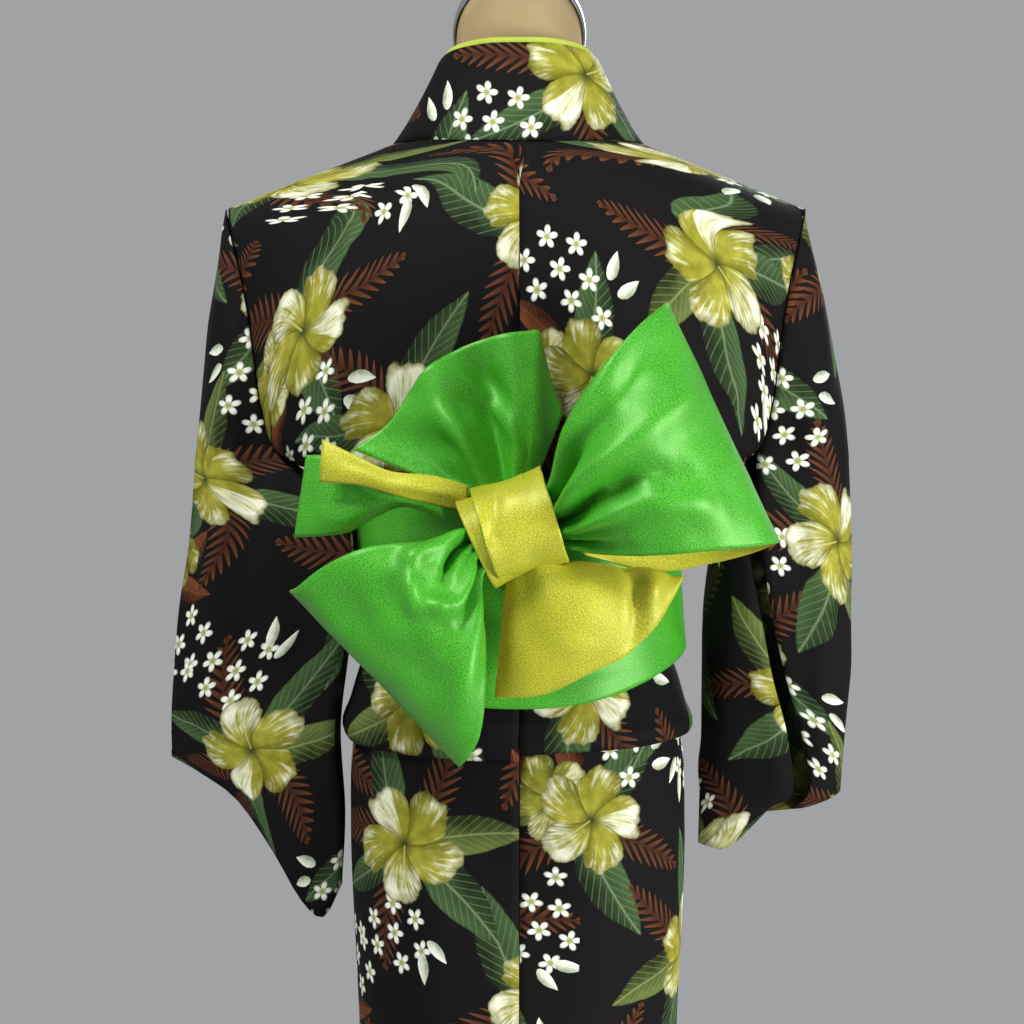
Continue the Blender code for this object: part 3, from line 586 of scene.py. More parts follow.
def robeShift(places, normals, uv):
    flat = places[:, (0, 2)]
    backGate = np.clip(normals[:, 1] * 2.5 - 0.2, 0, 1) * (places[:, 1] > 0)
    frontGate = np.clip(-normals[:, 1] * 2.5 - 0.2, 0, 1) * (places[:, 1] < 0)
    top, over, least = robe["shoulderEase"]
    gate = np.clip((top - places[:, 2]) / over, least, 1)
    size, depth = robe["unevenness"]
    shift = creaseShift(flat, robeCreases["back"]) * backGate
    shift += creaseShift(flat, robeCreases["front"]) * frontGate
    shift += softNoise(places, size, 1.0) * depth * gate
    # the waist tuck keeps its layers apart
    middle, reach, still = robe["tuck"]
    nearTuck = np.exp(-((places[:, 2] - middle) / reach) ** 2)
    seam = np.clip((armSeam(places[:, 2]) - np.abs(places[:, 0])) / robe["seamEase"], 0, 1)
    return shift * (1 - still * nearTuck) * np.where(places[:, 2] > robe["underarmHeight"], seam, 1.0)


def makeSleeveShift(side):
    def sleeveShift(places, normals, uv):
        flat = places[:, (0, 2)]
        facing = np.clip(np.abs(normals[:, 1]) * 2.0 - 0.1, 0, 1)
        sewn = np.clip((np.abs(places[:, 0]) - armSeam(places[:, 2])) / robe["seamEase"], 0, 1)
        free = np.where(places[:, 2] > robe["underarmHeight"], sewn, 1.0)
        low, over, least = sleeveCut["bottomEase"]
        size, depth = sleeveCut["unevenness"]
        shift = creaseShift(flat, sleeveCreases[side]) * facing * sleeveCut["creaseDepth"]
        shift = shift + softNoise(places, size, 2.0 + side) * depth
        return shift * free * np.clip((places[:, 2] - low) / over, least, 1)
    return sleeveShift


def linear(hexText):
    values = [int(hexText[i:i + 2], 16) / 255 for i in (1, 3, 5)]
    return tuple(v / 12.92 if v <= 0.04045 else ((v + 0.055) / 1.055) ** 2.4 for v in values) + (1.0,)


def addNode(tree, kind, given=None, **settings):
    node = tree.nodes.new(kind)
    for key, value in settings.items():
        setattr(node, key, value)
    for key, value in (given or {}).items():
        if isinstance(value, bpy.types.NodeSocket):
            tree.links.new(value, node.inputs[key])
        else:
            node.inputs[key].default_value = value
    return node


def workOut(tree, values, steps):
    # a chain of sums: each step names its result, the sum and its terms
    for name, operation, *terms in steps:
        given = {i: values[t] if isinstance(t, str) else t for i, t in enumerate(terms)}
        values[name] = addNode(tree, "ShaderNodeMath", given, operation=operation).outputs[0]
    return values


def addNoise(tree, place, scale, detail, roughness=0.5):
    given = {"Vector": place, "Scale": scale, "Detail": detail, "Roughness": roughness}
    return addNode(tree, "ShaderNodeTexNoise", given).outputs[0]


def mixColours(tree, factor, first, second):
    node = addNode(tree, "ShaderNodeMix", {0: factor, 6: first, 7: second}, data_type="RGBA")
    return node.outputs[2]


def darkToLight(tree, factor, entry):
    return mixColours(tree, factor, entry.outputs["Dark"], entry.outputs["Light"])


def startGroup(name):
    # one motif about its own origin: its place goes in, its colour and mask come out
    tree = bpy.data.node_groups.new(name, "ShaderNodeTree")
    tree.interface.new_socket(name="Place", in_out="INPUT", socket_type="NodeSocketVector")
    for label in ("Dark", "Light", "Vein"):
        tree.interface.new_socket(name=label, in_out="INPUT", socket_type="NodeSocketColor")
    tree.interface.new_socket(name="Colour", in_out="OUTPUT", socket_type="NodeSocketColor")
    tree.interface.new_socket(name="Mask", in_out="OUTPUT", socket_type="NodeSocketFloat")
    entry = tree.nodes.new("NodeGroupInput")
    place = addNode(tree, "ShaderNodeSeparateXYZ", {0: entry.outputs["Place"]})
    values = {"x": place.outputs[0], "y": place.outputs[1]}
    return tree, entry, values


def endGroup(tree, colour, mask):
    addNode(tree, "NodeGroupOutput", {"Colour": colour, "Mask": mask})
    return tree


def leafPrint():
    # a pointed leaf along x from 0 to 1, with a pale rib and slanting veins
    tree, entry, values = startGroup("leafPrint")
    values["grain"] = addNoise(tree, entry.outputs["Place"], 5.0, 3.0)
    workOut(tree, values, [
        ("square", "MULTIPLY", "x", "x"),
        ("bow", "MULTIPLY_ADD", "square", -0.16, "y"),
        ("wave", "MULTIPLY_ADD", "grain", 0.06, -0.03),
        ("level", "ADD", "bow", "wave"),
        ("side", "ABSOLUTE", "bow"),
        ("edgeSide", "ABSOLUTE", "level"),
        ("tip", "SUBTRACT", 1.0, "x"),
        ("rise", "POWER", "x", 0.60),
        ("fall", "POWER", "tip", 0.95),
        ("half", "MULTIPLY", "rise", "fall"),
        ("reach", "MULTIPLY", "half", 0.56),
        ("room", "SUBTRACT", "reach", "edgeSide"),
        ("mask", "MULTIPLY", "room", 60.0),
        ("rib", "MULTIPLY_ADD", "side", -75.0, 1.2),
        ("slant", "MULTIPLY_ADD", "side", -1.5, "x"),
        ("turns", "MULTIPLY", "slant", 62.0),
        ("veins", "SINE", "turns"),
        ("fine", "MULTIPLY_ADD", "veins", 5.0, -4.3),
        ("both", "MAXIMUM", "rib", "fine"),
        ("pale", "MAXIMUM", "both", 0.0),
        ("strength", "MULTIPLY", "pale", 0.45),
        ("lit", "MULTIPLY_ADD", "bow", 4.0, 0.1),
        ("tone", "MULTIPLY_ADD", "grain", 0.9, "lit"),
    ])
    body = darkToLight(tree, values["tone"], entry)
    veined = mixColours(tree, values["strength"], body, entry.outputs["Vein"])
    return endGroup(tree, veined, values["mask"])


def fernPrint():
    # a feathered frond along x from 0 to 1, its leaflets slanting to the tip
    tree, entry, values = startGroup("fernPrint")
    workOut(tree, values, [
        ("square", "MULTIPLY", "x", "x"),
        ("bow", "MULTIPLY_ADD", "square", 0.14, "y"),
        ("side", "ABSOLUTE", "bow"),
        ("tip", "SUBTRACT", 1.0, "x"),
        ("rise", "POWER", "x", 0.35),
        ("fall", "POWER", "tip", 0.60),
        ("half", "MULTIPLY", "rise", "fall"),
        ("reach", "MULTIPLY", "half", 0.36),
        ("share", "DIVIDE", "side", "reach"),
        ("slant", "MULTIPLY_ADD", "side", -1.15, "x"),
        ("count", "MULTIPLY", "slant", 9.0),
        ("cell", "FRACT", "count"),
        ("off", "SUBTRACT", "cell", 0.5),
        ("away", "ABSOLUTE", "off"),
        ("left", "SUBTRACT", 1.0, "share"),
        ("taper", "POWER", "left", 0.55),
        ("blade", "MULTIPLY", "taper", 0.40),
        ("room", "SUBTRACT", "blade", "away"),
        ("leaflets", "MULTIPLY", "room", 12.0),
        ("stemRoom", "SUBTRACT", 0.014, "side"),
        ("stem", "MULTIPLY", "stemRoom", 150.0),
        ("inside", "GREATER_THAN", "x", 0.0),
        ("before", "LESS_THAN", "x", 1.0),
        ("span", "MULTIPLY", "inside", "before"),
        ("most", "MAXIMUM", "leaflets", "stem"),
        ("kept", "MINIMUM", "most", 1.0),
        ("mask", "MULTIPLY", "kept", "span"),
        ("tone", "MULTIPLY_ADD", "share", 0.7, 0.1),
    ])
    colour = darkToLight(tree, values["tone"], entry)
    return endGroup(tree, colour, values["mask"])


def fivePetals(angle, roundness):
    # the part of a turn within one of five petals, and how far the petal's outline reaches there
    return [
        ("turn", "MULTIPLY", angle, 5 / (2 * math.pi)),
        ("part", "FRACT", "turn"),
        ("off", "SUBTRACT", "part", 0.5),
        ("swing", "MULTIPLY", "off", math.pi),
        ("arch", "COSINE", "swing"),
        ("round", "POWER", "arch", roundness),
    ]


def hibiscusPrint():
    # five broad overlapping petals on a unit circle, streaked with white from a dark throat
    tree, entry, values = startGroup("hibiscusPrint")
    values["ruffle"] = addNoise(tree, entry.outputs["Place"], 3.2, 3.0)
    workOut(tree, values, [
        ("xx", "MULTIPLY", "x", "x"),
        ("rr", "MULTIPLY_ADD", "y", "y", "xx"),
        ("r", "SQRT", "rr"),
        ("angle", "ARCTAN2", "y", "x"),
        ("swirl", "MULTIPLY_ADD", "r", 0.35, "angle"),
        *fivePetals("swirl", 0.55),
        ("outline", "MULTIPLY_ADD", "round", 0.36, 0.50),
        ("wavy", "MULTIPLY_ADD", "ruffle", 0.36, -0.14),
        ("reach", "ADD", "outline", "wavy"),
        ("room", "SUBTRACT", "reach", "r"),
        ("mask", "MULTIPLY", "room", 34.0),
        ("around", "MULTIPLY", "swirl", 4.2),
        ("stretch", "MULTIPLY", "r", 0.8),
        ("petal", "FLOOR", "turn"),
    ])
    chance = addNode(tree, "ShaderNodeTexWhiteNoise", {1: values["petal"]}, noise_dimensions="1D")
    values["paleness"] = chance.outputs[0]
    streakPlace = addNode(tree, "ShaderNodeCombineXYZ", {0: values["around"], 1: values["stretch"]})
    values["streak"] = addNoise(tree, streakPlace.outputs[0], 2.6, 4.0, 0.65)
    workOut(tree, values, [
        ("outer", "MULTIPLY_ADD", "r", 1.5, -1.25),
        ("pale", "MULTIPLY_ADD", "paleness", 0.9, "outer"),
        ("lift", "MULTIPLY_ADD", "ruffle", 0.9, "pale"),
        ("streaky", "MULTIPLY_ADD", "streak", 3.4, -1.9),
        ("white", "ADD", "streaky", "lift"),
        ("whiter", "MAXIMUM", "white", 0.0),
        ("whiteCap", "MINIMUM", "whiter", 0.88),
        ("tone", "MULTIPLY_ADD", "ruffle", 1.6, -0.25),
        ("lap", "MULTIPLY_ADD", "part", 3.2, -0.05),
        ("lapTone", "MINIMUM", "lap", 1.0),
        ("edgeFade", "MULTIPLY", "room", 7.0),
        ("edgeTone", "MINIMUM", "edgeFade", 1.0),
        ("shade", "MULTIPLY", "lapTone", "tone"),
        ("throatFar", "MULTIPLY_ADD", "r", -5.5, 1.15),
        ("throat", "MAXIMUM", "throatFar", 0.0),
        ("throatCap", "MINIMUM", "throat", 1.0),
        ("tilt", "MULTIPLY_ADD", "x", -0.35, "y"),
        ("stemSide", "ABSOLUTE", "tilt"),
        ("stemRoom", "MULTIPLY_ADD", "stemSide", -50.0, 1.1),
        ("stemStart", "GREATER_THAN", "x", 0.02),
        ("stemEnd", "LESS_THAN", "x", 0.36),
        ("stemSpan", "MULTIPLY", "stemStart", "stemEnd"),
        ("stemPlain", "MULTIPLY", "stemRoom", "stemSpan"),
        ("stemMask", "MAXIMUM", "stemPlain", 0.0),
    ])
    petals = darkToLight(tree, values["shade"], entry)
    streaked = mixColours(tree, values["whiteCap"], petals, entry.outputs["Vein"])
    rimmed = mixColours(tree, values["edgeTone"], entry.outputs["Dark"], streaked)
    centred = mixColours(tree, values["throatCap"], rimmed, linear("#3d4212"))
    stamen = mixColours(tree, values["stemMask"], centred, linear("#b5b05a"))
    return endGroup(tree, stamen, values["mask"])


def clusterPrint():
    # small five-petalled flowers packed side by side, whole ones only
    tree, entry, values = startGroup("clusterPrint")
    workOut(tree, values, [
        ("down", "MULTIPLY", "y", 1.12),
        ("line", "FLOOR", "down"),
        ("odd", "FLOORED_MODULO", "line", 2.0),
        ("half", "MULTIPLY", "odd", 0.5),
        ("over", "ADD", "x", "half"),
        ("place", "FLOOR", "over"),
        ("lx0", "FRACT", "over"),
        ("ly0", "FRACT", "down"),
        ("cx0", "SUBTRACT", "place", "half"),
        ("cx", "ADD", "cx0", 0.5),
        ("cy0", "ADD", "line", 0.5),
        ("cy", "MULTIPLY", "cy0", 0.89),
        ("cxx", "MULTIPLY", "cx", "cx"),
        ("crr", "MULTIPLY_ADD", "cy", "cy", "cxx"),
        ("inside", "LESS_THAN", "crr", 2.1),
    ])
    name = addNode(tree, "ShaderNodeCombineXYZ", {0: values["place"], 1: values["line"]})
    chance = addNode(tree, "ShaderNodeTexWhiteNoise", {0: name.outputs[0]}, noise_dimensions="2D")
    strays = addNode(tree, "ShaderNodeSeparateColor", {0: chance.outputs[1]})
    values.update(red=strays.outputs[0], green=strays.outputs[1], blue=strays.outputs[2])
    workOut(tree, values, [
        ("left", "MULTIPLY_ADD", "red", 0.20, -0.60),
        ("below", "MULTIPLY_ADD", "green", 0.20, -0.60),
        ("lx", "ADD", "lx0", "left"),
        ("ly", "ADD", "ly0", "below"),
        ("lxx", "MULTIPLY", "lx", "lx"),
        ("rr", "MULTIPLY_ADD", "ly", "ly", "lxx"),
        ("r", "SQRT", "rr"),
        ("angle", "ARCTAN2", "ly", "lx"),
        ("spun", "MULTIPLY_ADD", "blue", 6.28, "angle"),
        *fivePetals("spun", 0.8),
        ("outline", "MULTIPLY_ADD", "round", 0.29, 0.11),
        ("room", "SUBTRACT", "outline", "r"),
        ("sharp", "MULTIPLY", "room", 22.0),
        ("held", "MINIMUM", "sharp", 1.0),
        ("mask", "MULTIPLY", "held", "inside"),
        ("petal", "MULTIPLY_ADD", "room", 6.0, 0.25),
        ("heartFar", "MULTIPLY_ADD", "r", -9.0, 1.5),
        ("heart", "MAXIMUM", "heartFar", 0.0),
        ("heartCap", "MINIMUM", "heart", 0.9),
    ])
    petals = darkToLight(tree, values["petal"], entry)
    flowers = mixColours(tree, values["heartCap"], petals, entry.outputs["Vein"])
    return endGroup(tree, flowers, values["mask"])


printColours = {
    "ground": "#0b090a",
    "hibiscus": ("#62610f", "#b1ad3e", "#eceed6"),
    "oliveHibiscus": ("#4f4e10", "#9c9a33", "#d9daa8"),
    "leaf": ("#18240f", "#3c5530", "#86a277"),
    "oliveLeaf": ("#232b10", "#5c6a33", "#9ba868"),
    "brownLeaf": ("#2c140a", "#6b3a20", "#85502f"),
    "fern": ("#33180b", "#774626", "#774626"),
    "cluster": ("#7d8a6c", "#eef0e4", "#8f9434"),
    "bud": ("#8f9c7e", "#e9edda", "#ffffff"),
}

# two bouquets: motif, colours, x, y, turn in degrees and size, in millimetres about the bouquet's
# middle; what is listed first lies underneath
bouquets = [
    {"shift": (0.0, 0.0), "seed": 1.0, "greens": [
        ("fern", "fern", 14, 20, 42, 96), ("fern", "fern", -20, 18, 118, 90),
        ("fern", "fern", -10, -26, 236, 88), ("leaf", "leaf", 18, -10, -24, 102),
        ("leaf", "oliveLeaf", 4, -18, -76, 92), ("leaf", "leaf", -18, 0, 186, 100),
        ("leaf", "leaf", 4, 22, 80, 82),
    ], "flowers": [
        ("cluster", "cluster", 64, 58, 20, 27.5), ("leaf", "bud", 94, 30, 10, 28),
        ("leaf", "bud", 86, 18, -24, 26), ("hibiscus", "hibiscus", 0, 0, 10, 60),
    ]},
    {"shift": (0.128, 0.134), "seed": 3.0, "greens": [
        ("fern", "fern", 20, 12, 16, 92), ("fern", "fern", -18, 20, 146, 88),
        ("leaf", "leaf", 2, 20, 96, 106), ("leaf", "leaf", -14, -6, 204, 92),
        ("leaf", "brownLeaf", 10, -26, -58, 66), ("leaf", "brownLeaf", -4, -30, -98, 60),
        ("leaf", "oliveLeaf", 20, -12, -18, 78),
    ], "flowers": [
        ("hibiscus", "oliveHibiscus", 20, -22, 40, 44), ("cluster", "cluster", -54, -58, 0, 28.5),
        ("leaf", "bud", -78, -20, 160, 27), ("leaf", "bud", -82, -34, 190, 27),
        ("hibiscus", "hibiscus", -8, 6, 0, 54),
    ]},
]

printLayout = {
    "cell": (0.256, 0.268),    # one of each bouquet in every cell of the repeat
    "drop": 0.18,              # each column starts this share of a cell lower
    "stray": 0.014,            # how far a bouquet strays from its place
    "waver": 0.012,            # how far the drawing wavers
}


def latticePlace(tree, flat, shift, seed):
    # coordinates about the middle of a dropped cell, turned by a chance angle of its own
    cell = printLayout["cell"]
    moved = addNode(tree, "ShaderNodeVectorMath", {0: flat, 1: (shift[0], shift[1], 0)}, operation="ADD")
    parts = addNode(tree, "ShaderNodeSeparateXYZ", {0: moved.outputs[0]})
    values = {"u": parts.outputs[0], "v": parts.outputs[1]}
    workOut(tree, values, [
        ("across", "DIVIDE", "u", cell[0]),
        ("column", "FLOOR", "across"),
        ("down", "DIVIDE", "v", cell[1]),
        ("dropped", "MULTIPLY_ADD", "column", printLayout["drop"], "down"),
        ("line", "FLOOR", "dropped"),
        ("fx", "FRACT", "across"),
        ("fy", "FRACT", "dropped"),
        ("hx", "SUBTRACT", "fx", 0.5),
        ("hy", "SUBTRACT", "fy", 0.5),
        ("x", "MULTIPLY", "hx", cell[0]),
        ("y", "MULTIPLY", "hy", cell[1]),
    ])
    name = addNode(tree, "ShaderNodeCombineXYZ", {0: values["column"], 1: values["line"], 2: seed})
    chance = addNode(tree, "ShaderNodeTexWhiteNoise", {0: name.outputs[0]}, noise_dimensions="3D")
    strays = addNode(tree, "ShaderNodeSeparateColor", {0: chance.outputs[1]})
    values.update(chance=chance.outputs[0], red=strays.outputs[0], blue=strays.outputs[2])
    stray = printLayout["stray"]
    workOut(tree, values, [
        ("turn", "MULTIPLY", "chance", 2 * math.pi),
        ("sideways", "MULTIPLY_ADD", "red", 2 * stray, -stray),
        ("lengthways", "MULTIPLY_ADD", "blue", 2 * stray, -stray),
        ("x", "ADD", "x", "sideways"),
        ("y", "ADD", "y", "lengthways"),
    ])
    place = addNode(tree, "ShaderNodeCombineXYZ", {0: values["x"], 1: values["y"]})
    turned = addNode(tree, "ShaderNodeVectorRotate", {"Vector": place.outputs[0], "Angle": values["turn"]},
                     rotation_type="Z_AXIS")
    return turned.outputs[0]


def printPattern():
    # the whole figured print from the flat cut's own coordinates
    tree = bpy.data.node_groups.new("tropicalPrint", "ShaderNodeTree")
    tree.interface.new_socket(name="Colour", in_out="OUTPUT", socket_type="NodeSocketColor")
    groups = {"leaf": leafPrint(), "fern": fernPrint(), "hibiscus": hibiscusPrint(),
              "cluster": clusterPrint()}
    flat = addNode(tree, "ShaderNodeUVMap", uv_map="flatCut").outputs[0]
    drift = addNode(tree, "ShaderNodeTexNoise", {"Vector": flat, "Scale": 4.0, "Detail": 0.0}).outputs[1]
    waver = printLayout["waver"]
    for operation, other in (("SUBTRACT", (0.5, 0.5, 0.5)), ("MULTIPLY", (waver, waver, 0)), ("ADD", flat)):
        drift = addNode(tree, "ShaderNodeVectorMath", {0: drift, 1: other}, operation=operation).outputs[0]
    colour = addNode(tree, "ShaderNodeRGB").outputs[0]
    colour.default_value = linear(printColours["ground"])
    places = [latticePlace(tree, drift, each["shift"], each["seed"]) for each in bouquets]
    for kind, number in (("greens", 1), ("greens", 0), ("flowers", 1), ("flowers", 0)):
        local = places[number]
        for motif, colours, x, y, turn, size in bouquets[number][kind]:
            put = addNode(tree, "ShaderNodeMapping", {
                "Vector": local, "Location": (x / 1000, y / 1000, 0),
                "Rotation": (0, 0, math.radians(turn)),
                "Scale": (size / 1000, size / 1000, 1)}, vector_type="TEXTURE")
            drawn = addNode(tree, "ShaderNodeGroup", node_tree=groups[motif])
            tree.links.new(put.outputs[0], drawn.inputs["Place"])
            for label, shade in zip(("Dark", "Light", "Vein"), printColours[colours]):
                drawn.inputs[label].default_value = linear(shade)
            held = addNode(tree, "ShaderNodeClamp", {0: drawn.outputs["Mask"]})
            colour = mixColours(tree, held.outputs[0], colour, drawn.outputs["Colour"])
    addNode(tree, "NodeGroupOutput", {"Colour": colour})
    return tree


def startMaterial(name):
    material = bpy.data.materials.new(name)
    material.use_nodes = True
    tree = material.node_tree
    tree.nodes.clear()
    shader = addNode(tree, "ShaderNodeBsdfPrincipled")
    addNode(tree, "ShaderNodeOutputMaterial", {0: shader.outputs[0]})
    return material, tree, shader


def clothBump(tree, shader, flat, threads, depth, size):
    # crossed threads, drawn about three times as coarse as the real ones so that they can be seen
    parts = addNode(tree, "ShaderNodeSeparateXYZ", {0: flat})
    values = {"u": parts.outputs[0], "v": parts.outputs[1]}
    values["noise"] = addNoise(tree, flat, 1 / size, 4.0)
    workOut(tree, values, [
        ("warp", "MULTIPLY", "u", 2 * math.pi / threads),
        ("weft", "MULTIPLY", "v", 2 * math.pi / threads),
        ("a", "SINE", "warp"),
        ("b", "SINE", "weft"),
        ("weave", "MULTIPLY", "a", "b"),
        ("height", "MULTIPLY_ADD", "noise", 1.5, "weave"),
    ])
    given = {"Height": values["height"], "Strength": 0.35, "Distance": depth}
    bump = addNode(tree, "ShaderNodeBump", given)
    tree.links.new(bump.outputs[0], shader.inputs["Normal"])


def printedCotton(name, pattern, wrongSide=False):
    # dyed plain-weave cotton: matt, with a faint bloom at grazing angles; the back takes less dye
    material, tree, shader = startMaterial(name)
    flat = addNode(tree, "ShaderNodeUVMap", uv_map="flatCut").outputs[0]
    drawn = addNode(tree, "ShaderNodeGroup", node_tree=pattern).outputs[0]
    if wrongSide:
        drawn = mixColours(tree, 0.62, drawn, linear("#1a1817"))
    soft = mixColours(tree, 0.03, drawn, linear("#4a4644"))
    worn = mixColours(tree, addNoise(tree, flat, 22.0, 3.0), drawn, soft)
    tree.links.new(worn, shader.inputs["Base Color"])
    shader.inputs["Roughness"].default_value = 0.78
    shader.inputs["Specular IOR Level"].default_value = 0.12
    clothBump(tree, shader, flat, 0.0011, 0.00012, 0.006)
    return material


def satin(name, deep, bright, glint, roughness=0.42):
    # polyester satin crepe: a broad soft sheen of its own colour, broken by a pebbled grain
    # the grain is drawn at 1.3 mm, coarser than the real half millimetre, so that it can be seen
    material, tree, shader = startMaterial(name)
    flat = addNode(tree, "ShaderNodeUVMap", uv_map="flatCut").outputs[0]
    grain = addNoise(tree, flat, 780.0, 2.0, 0.6)
    values = {"grain": grain, "broad": addNoise(tree, flat, 26.0, 3.0)}
    workOut(tree, values, [
        ("speckle", "MULTIPLY_ADD", "grain", 2.4, -0.95),
        ("tone", "MULTIPLY_ADD", "broad", 0.5, "speckle"),
        ("shine", "MULTIPLY_ADD", "grain", 0.40, roughness - 0.20),
    ])
    tone = mixColours(tree, values["tone"], linear(deep), linear(bright))
    tree.links.new(tone, shader.inputs["Base Color"])
    tree.links.new(values["shine"], shader.inputs["Roughness"])
    shader.inputs["Specular IOR Level"].default_value = 0.9
    shader.inputs["Specular Tint"].default_value = linear(glint)
    bump = addNode(tree, "ShaderNodeBump", {"Height": grain, "Strength": 0.5, "Distance": 0.0006})
    tree.links.new(bump.outputs[0], shader.inputs["Normal"])
    return material


def plainCloth(name, deep, bright, threads, useObject=False):
    # plain cotton or knitted cover: matt, colour a little uneven
    material, tree, shader = startMaterial(name)
    if useObject:
        flat = addNode(tree, "ShaderNodeTexCoord").outputs["Object"]
    else:
        flat = addNode(tree, "ShaderNodeUVMap", uv_map="flatCut").outputs[0]
    tone = mixColours(tree, addNoise(tree, flat, 40.0, 4.0), linear(deep), linear(bright))
    tree.links.new(tone, shader.inputs["Base Color"])
    shader.inputs["Roughness"].default_value = 0.85
    clothBump(tree, shader, flat, threads, 0.0002, 0.004)
    return material


def metal(name, base, roughness, metallic, scratches):
    # polished or painted metal with faint wear in its gloss
    material, tree, shader = startMaterial(name)
    place = addNode(tree, "ShaderNodeTexCoord").outputs["Object"]
    values = {"wear": addNoise(tree, place, scratches, 5.0)}
    workOut(tree, values, [("rough", "MULTIPLY_ADD", "wear", 0.18, roughness - 0.09)])
    tree.links.new(values["rough"], shader.inputs["Roughness"])
    tone = mixColours(tree, values["wear"], linear(base[0]), linear(base[1]))
    tree.links.new(tone, shader.inputs["Base Color"])
    shader.inputs["Metallic"].default_value = metallic
    return material


print("materials")
pattern = printPattern()
cotton = printedCotton("printedCotton", pattern)
cottonBack = printedCotton("printedCottonWrongSide", pattern, True)
limeCotton = plainCloth("limeCotton", "#93a52c", "#b9c94a", 0.0009)
greenSatin = satin("greenSatin", "#1e680b", "#50ba30", "#c2fba8")
yellowSatin = satin("yellowSatin", "#83810d", "#cacc40", "#f8f8a4")
formJersey = plainCloth("formJersey", "#8e7c58", "#a39068", 0.0012, True)
chromePlate = metal("chromePlate", ("#b4b4b6", "#d2d2d4"), 0.20, 1.0, 60.0)
ironPaint = metal("ironPaint", ("#202022", "#2c2c2e"), 0.45, 0.0, 90.0)


def finishSheet(piece, nodes):
    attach(piece, "root")
    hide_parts(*nodes)


def makeBody(side):
    label = "left" if side > 0 else "right"
    back = [panelRow(i, side, False) for i in range(len(backRows))]
    front = [panelRow(i, side, True) for i in range(1, len(backRows))]
    grid = refine(list(reversed(back)) + front, robe["fineStep"])
    piece = makeSheet("robeBody_" + label, [(grid, flatCut(grid))], [cotton, cottonBack],
                      robe["thickness"], robeShift, printShift=robe["printShift"][side])
    finishSheet(piece, ["body_" + label])


def makeOkumi(side):
    label = "left" if side > 0 else "right"
    rows = [okumiRow(i, side) for i in range(robe["overlapRow"], len(frontRows))]
    grid = refine(rows, robe["fineStep"])
    piece = makeSheet("robeOkumi_" + label, [(grid, flatCut(grid))], [cotton, cottonBack],
                      robe["thickness"], robeShift,
                      printShift=(robe["okumiPrintShift"][0] * side, robe["okumiPrintShift"][1]))
    finishSheet(piece, ["okumi_" + label])


def makeSleeve(side):
    label = "left" if side > 0 else "right"
    nets = sleeveNets(side)
    grids = [refine(net, sleeveCut["fineStep"], nets[0]) for net in nets]
    flats = [flatCut(grid) for grid in grids]
    # the cloth runs on round the outer fold and then round the free front edge
    flats[1][..., 0] = flats[0][:, -1:, 0] + flats[1][:, -1:, 0] - flats[1][..., 0]
    if side < 0:
        flats[2][..., 0] += flats[1][:, :1, 0]
    across, along = sleeveCut["printShift"]
    piece = makeSheet("robeSleeve_" + label, list(zip(grids, flats)), [cotton, cottonBack],
                      robe["thickness"], makeSleeveShift(side), (side * 0.25, 0, 0.95),
                      (across, along * side))
    finishSheet(piece, ["sleeve_" + label])


def makeCollar():
    left, right = collarStations(1), collarStations(-1)
    grid = refine(list(reversed(left)) + right[1:], collarCut["fineStep"])
    piece = makeSheet("robeCollar", [(grid, flatCut(grid))], [cotton, cottonBack], collarCut["thickness"],
                      robeShift, printShift=(0.06, 0.10))
    finishSheet(piece, ["collar"])
    grid = refine(list(reversed(trimStations(1))) + trimStations(-1)[1:], collarCut["trimStep"])
    trim = makeSheet("collarTrim", [(grid, flatCut(grid))], [limeCotton], collarCut["thickness"])
    finishSheet(trim, ["collar_trim"])


print("robe")
for side in (1, -1):
    makeBody(side)
    makeOkumi(side)
    makeSleeve(side)
makeCollar()

sash = {
    "thickness": 0.0016,
    "fineStep": 0.0034,
    "foldDepth": 1.7,          # one factor for every fold below
    # size and depth of the cloth's own waves on the tied pieces, the band and the knot
    "unevenness": {"tied": (0.055, 0.0012), "band": (0.07, 0.0009), "knot": (0.035, 0.0014)},
    "bandTop": (1.026, 1.022, 1.012),       # at centre back, sides and centre front
    "bandBottom": (0.843, 0.884, 0.860),
    "bandHalf": (0.126, 0.100, 0.089),      # half width, back depth and front depth of the waist under it
    "bandClearance": 0.0182,
    "bandFlare": (0.0075, 0.003),           # further out at the lower and the upper edge
    "bandColumns": 32,
    "knotCentre": (0.000, 0.176, 1.004),
    "knotTilt": 17,
    "knotReach": 0.050,
    "knotHalfHeight": 0.040,
    "knotHalfLength": 0.030,
    "knotStep": 0.003,
    # x and height at both ends of the dimple in the knot, half width and depth
    "dimple": ((0.020, 1.026), (0.024, 0.998), 0.006, 0.0055),
    "underLean": 7,            # degrees that the turn beneath is twisted by
    "underScale": (1.0, 0.84, 0.96),
    "underShift": (0.009, 0.0, -0.005),
}

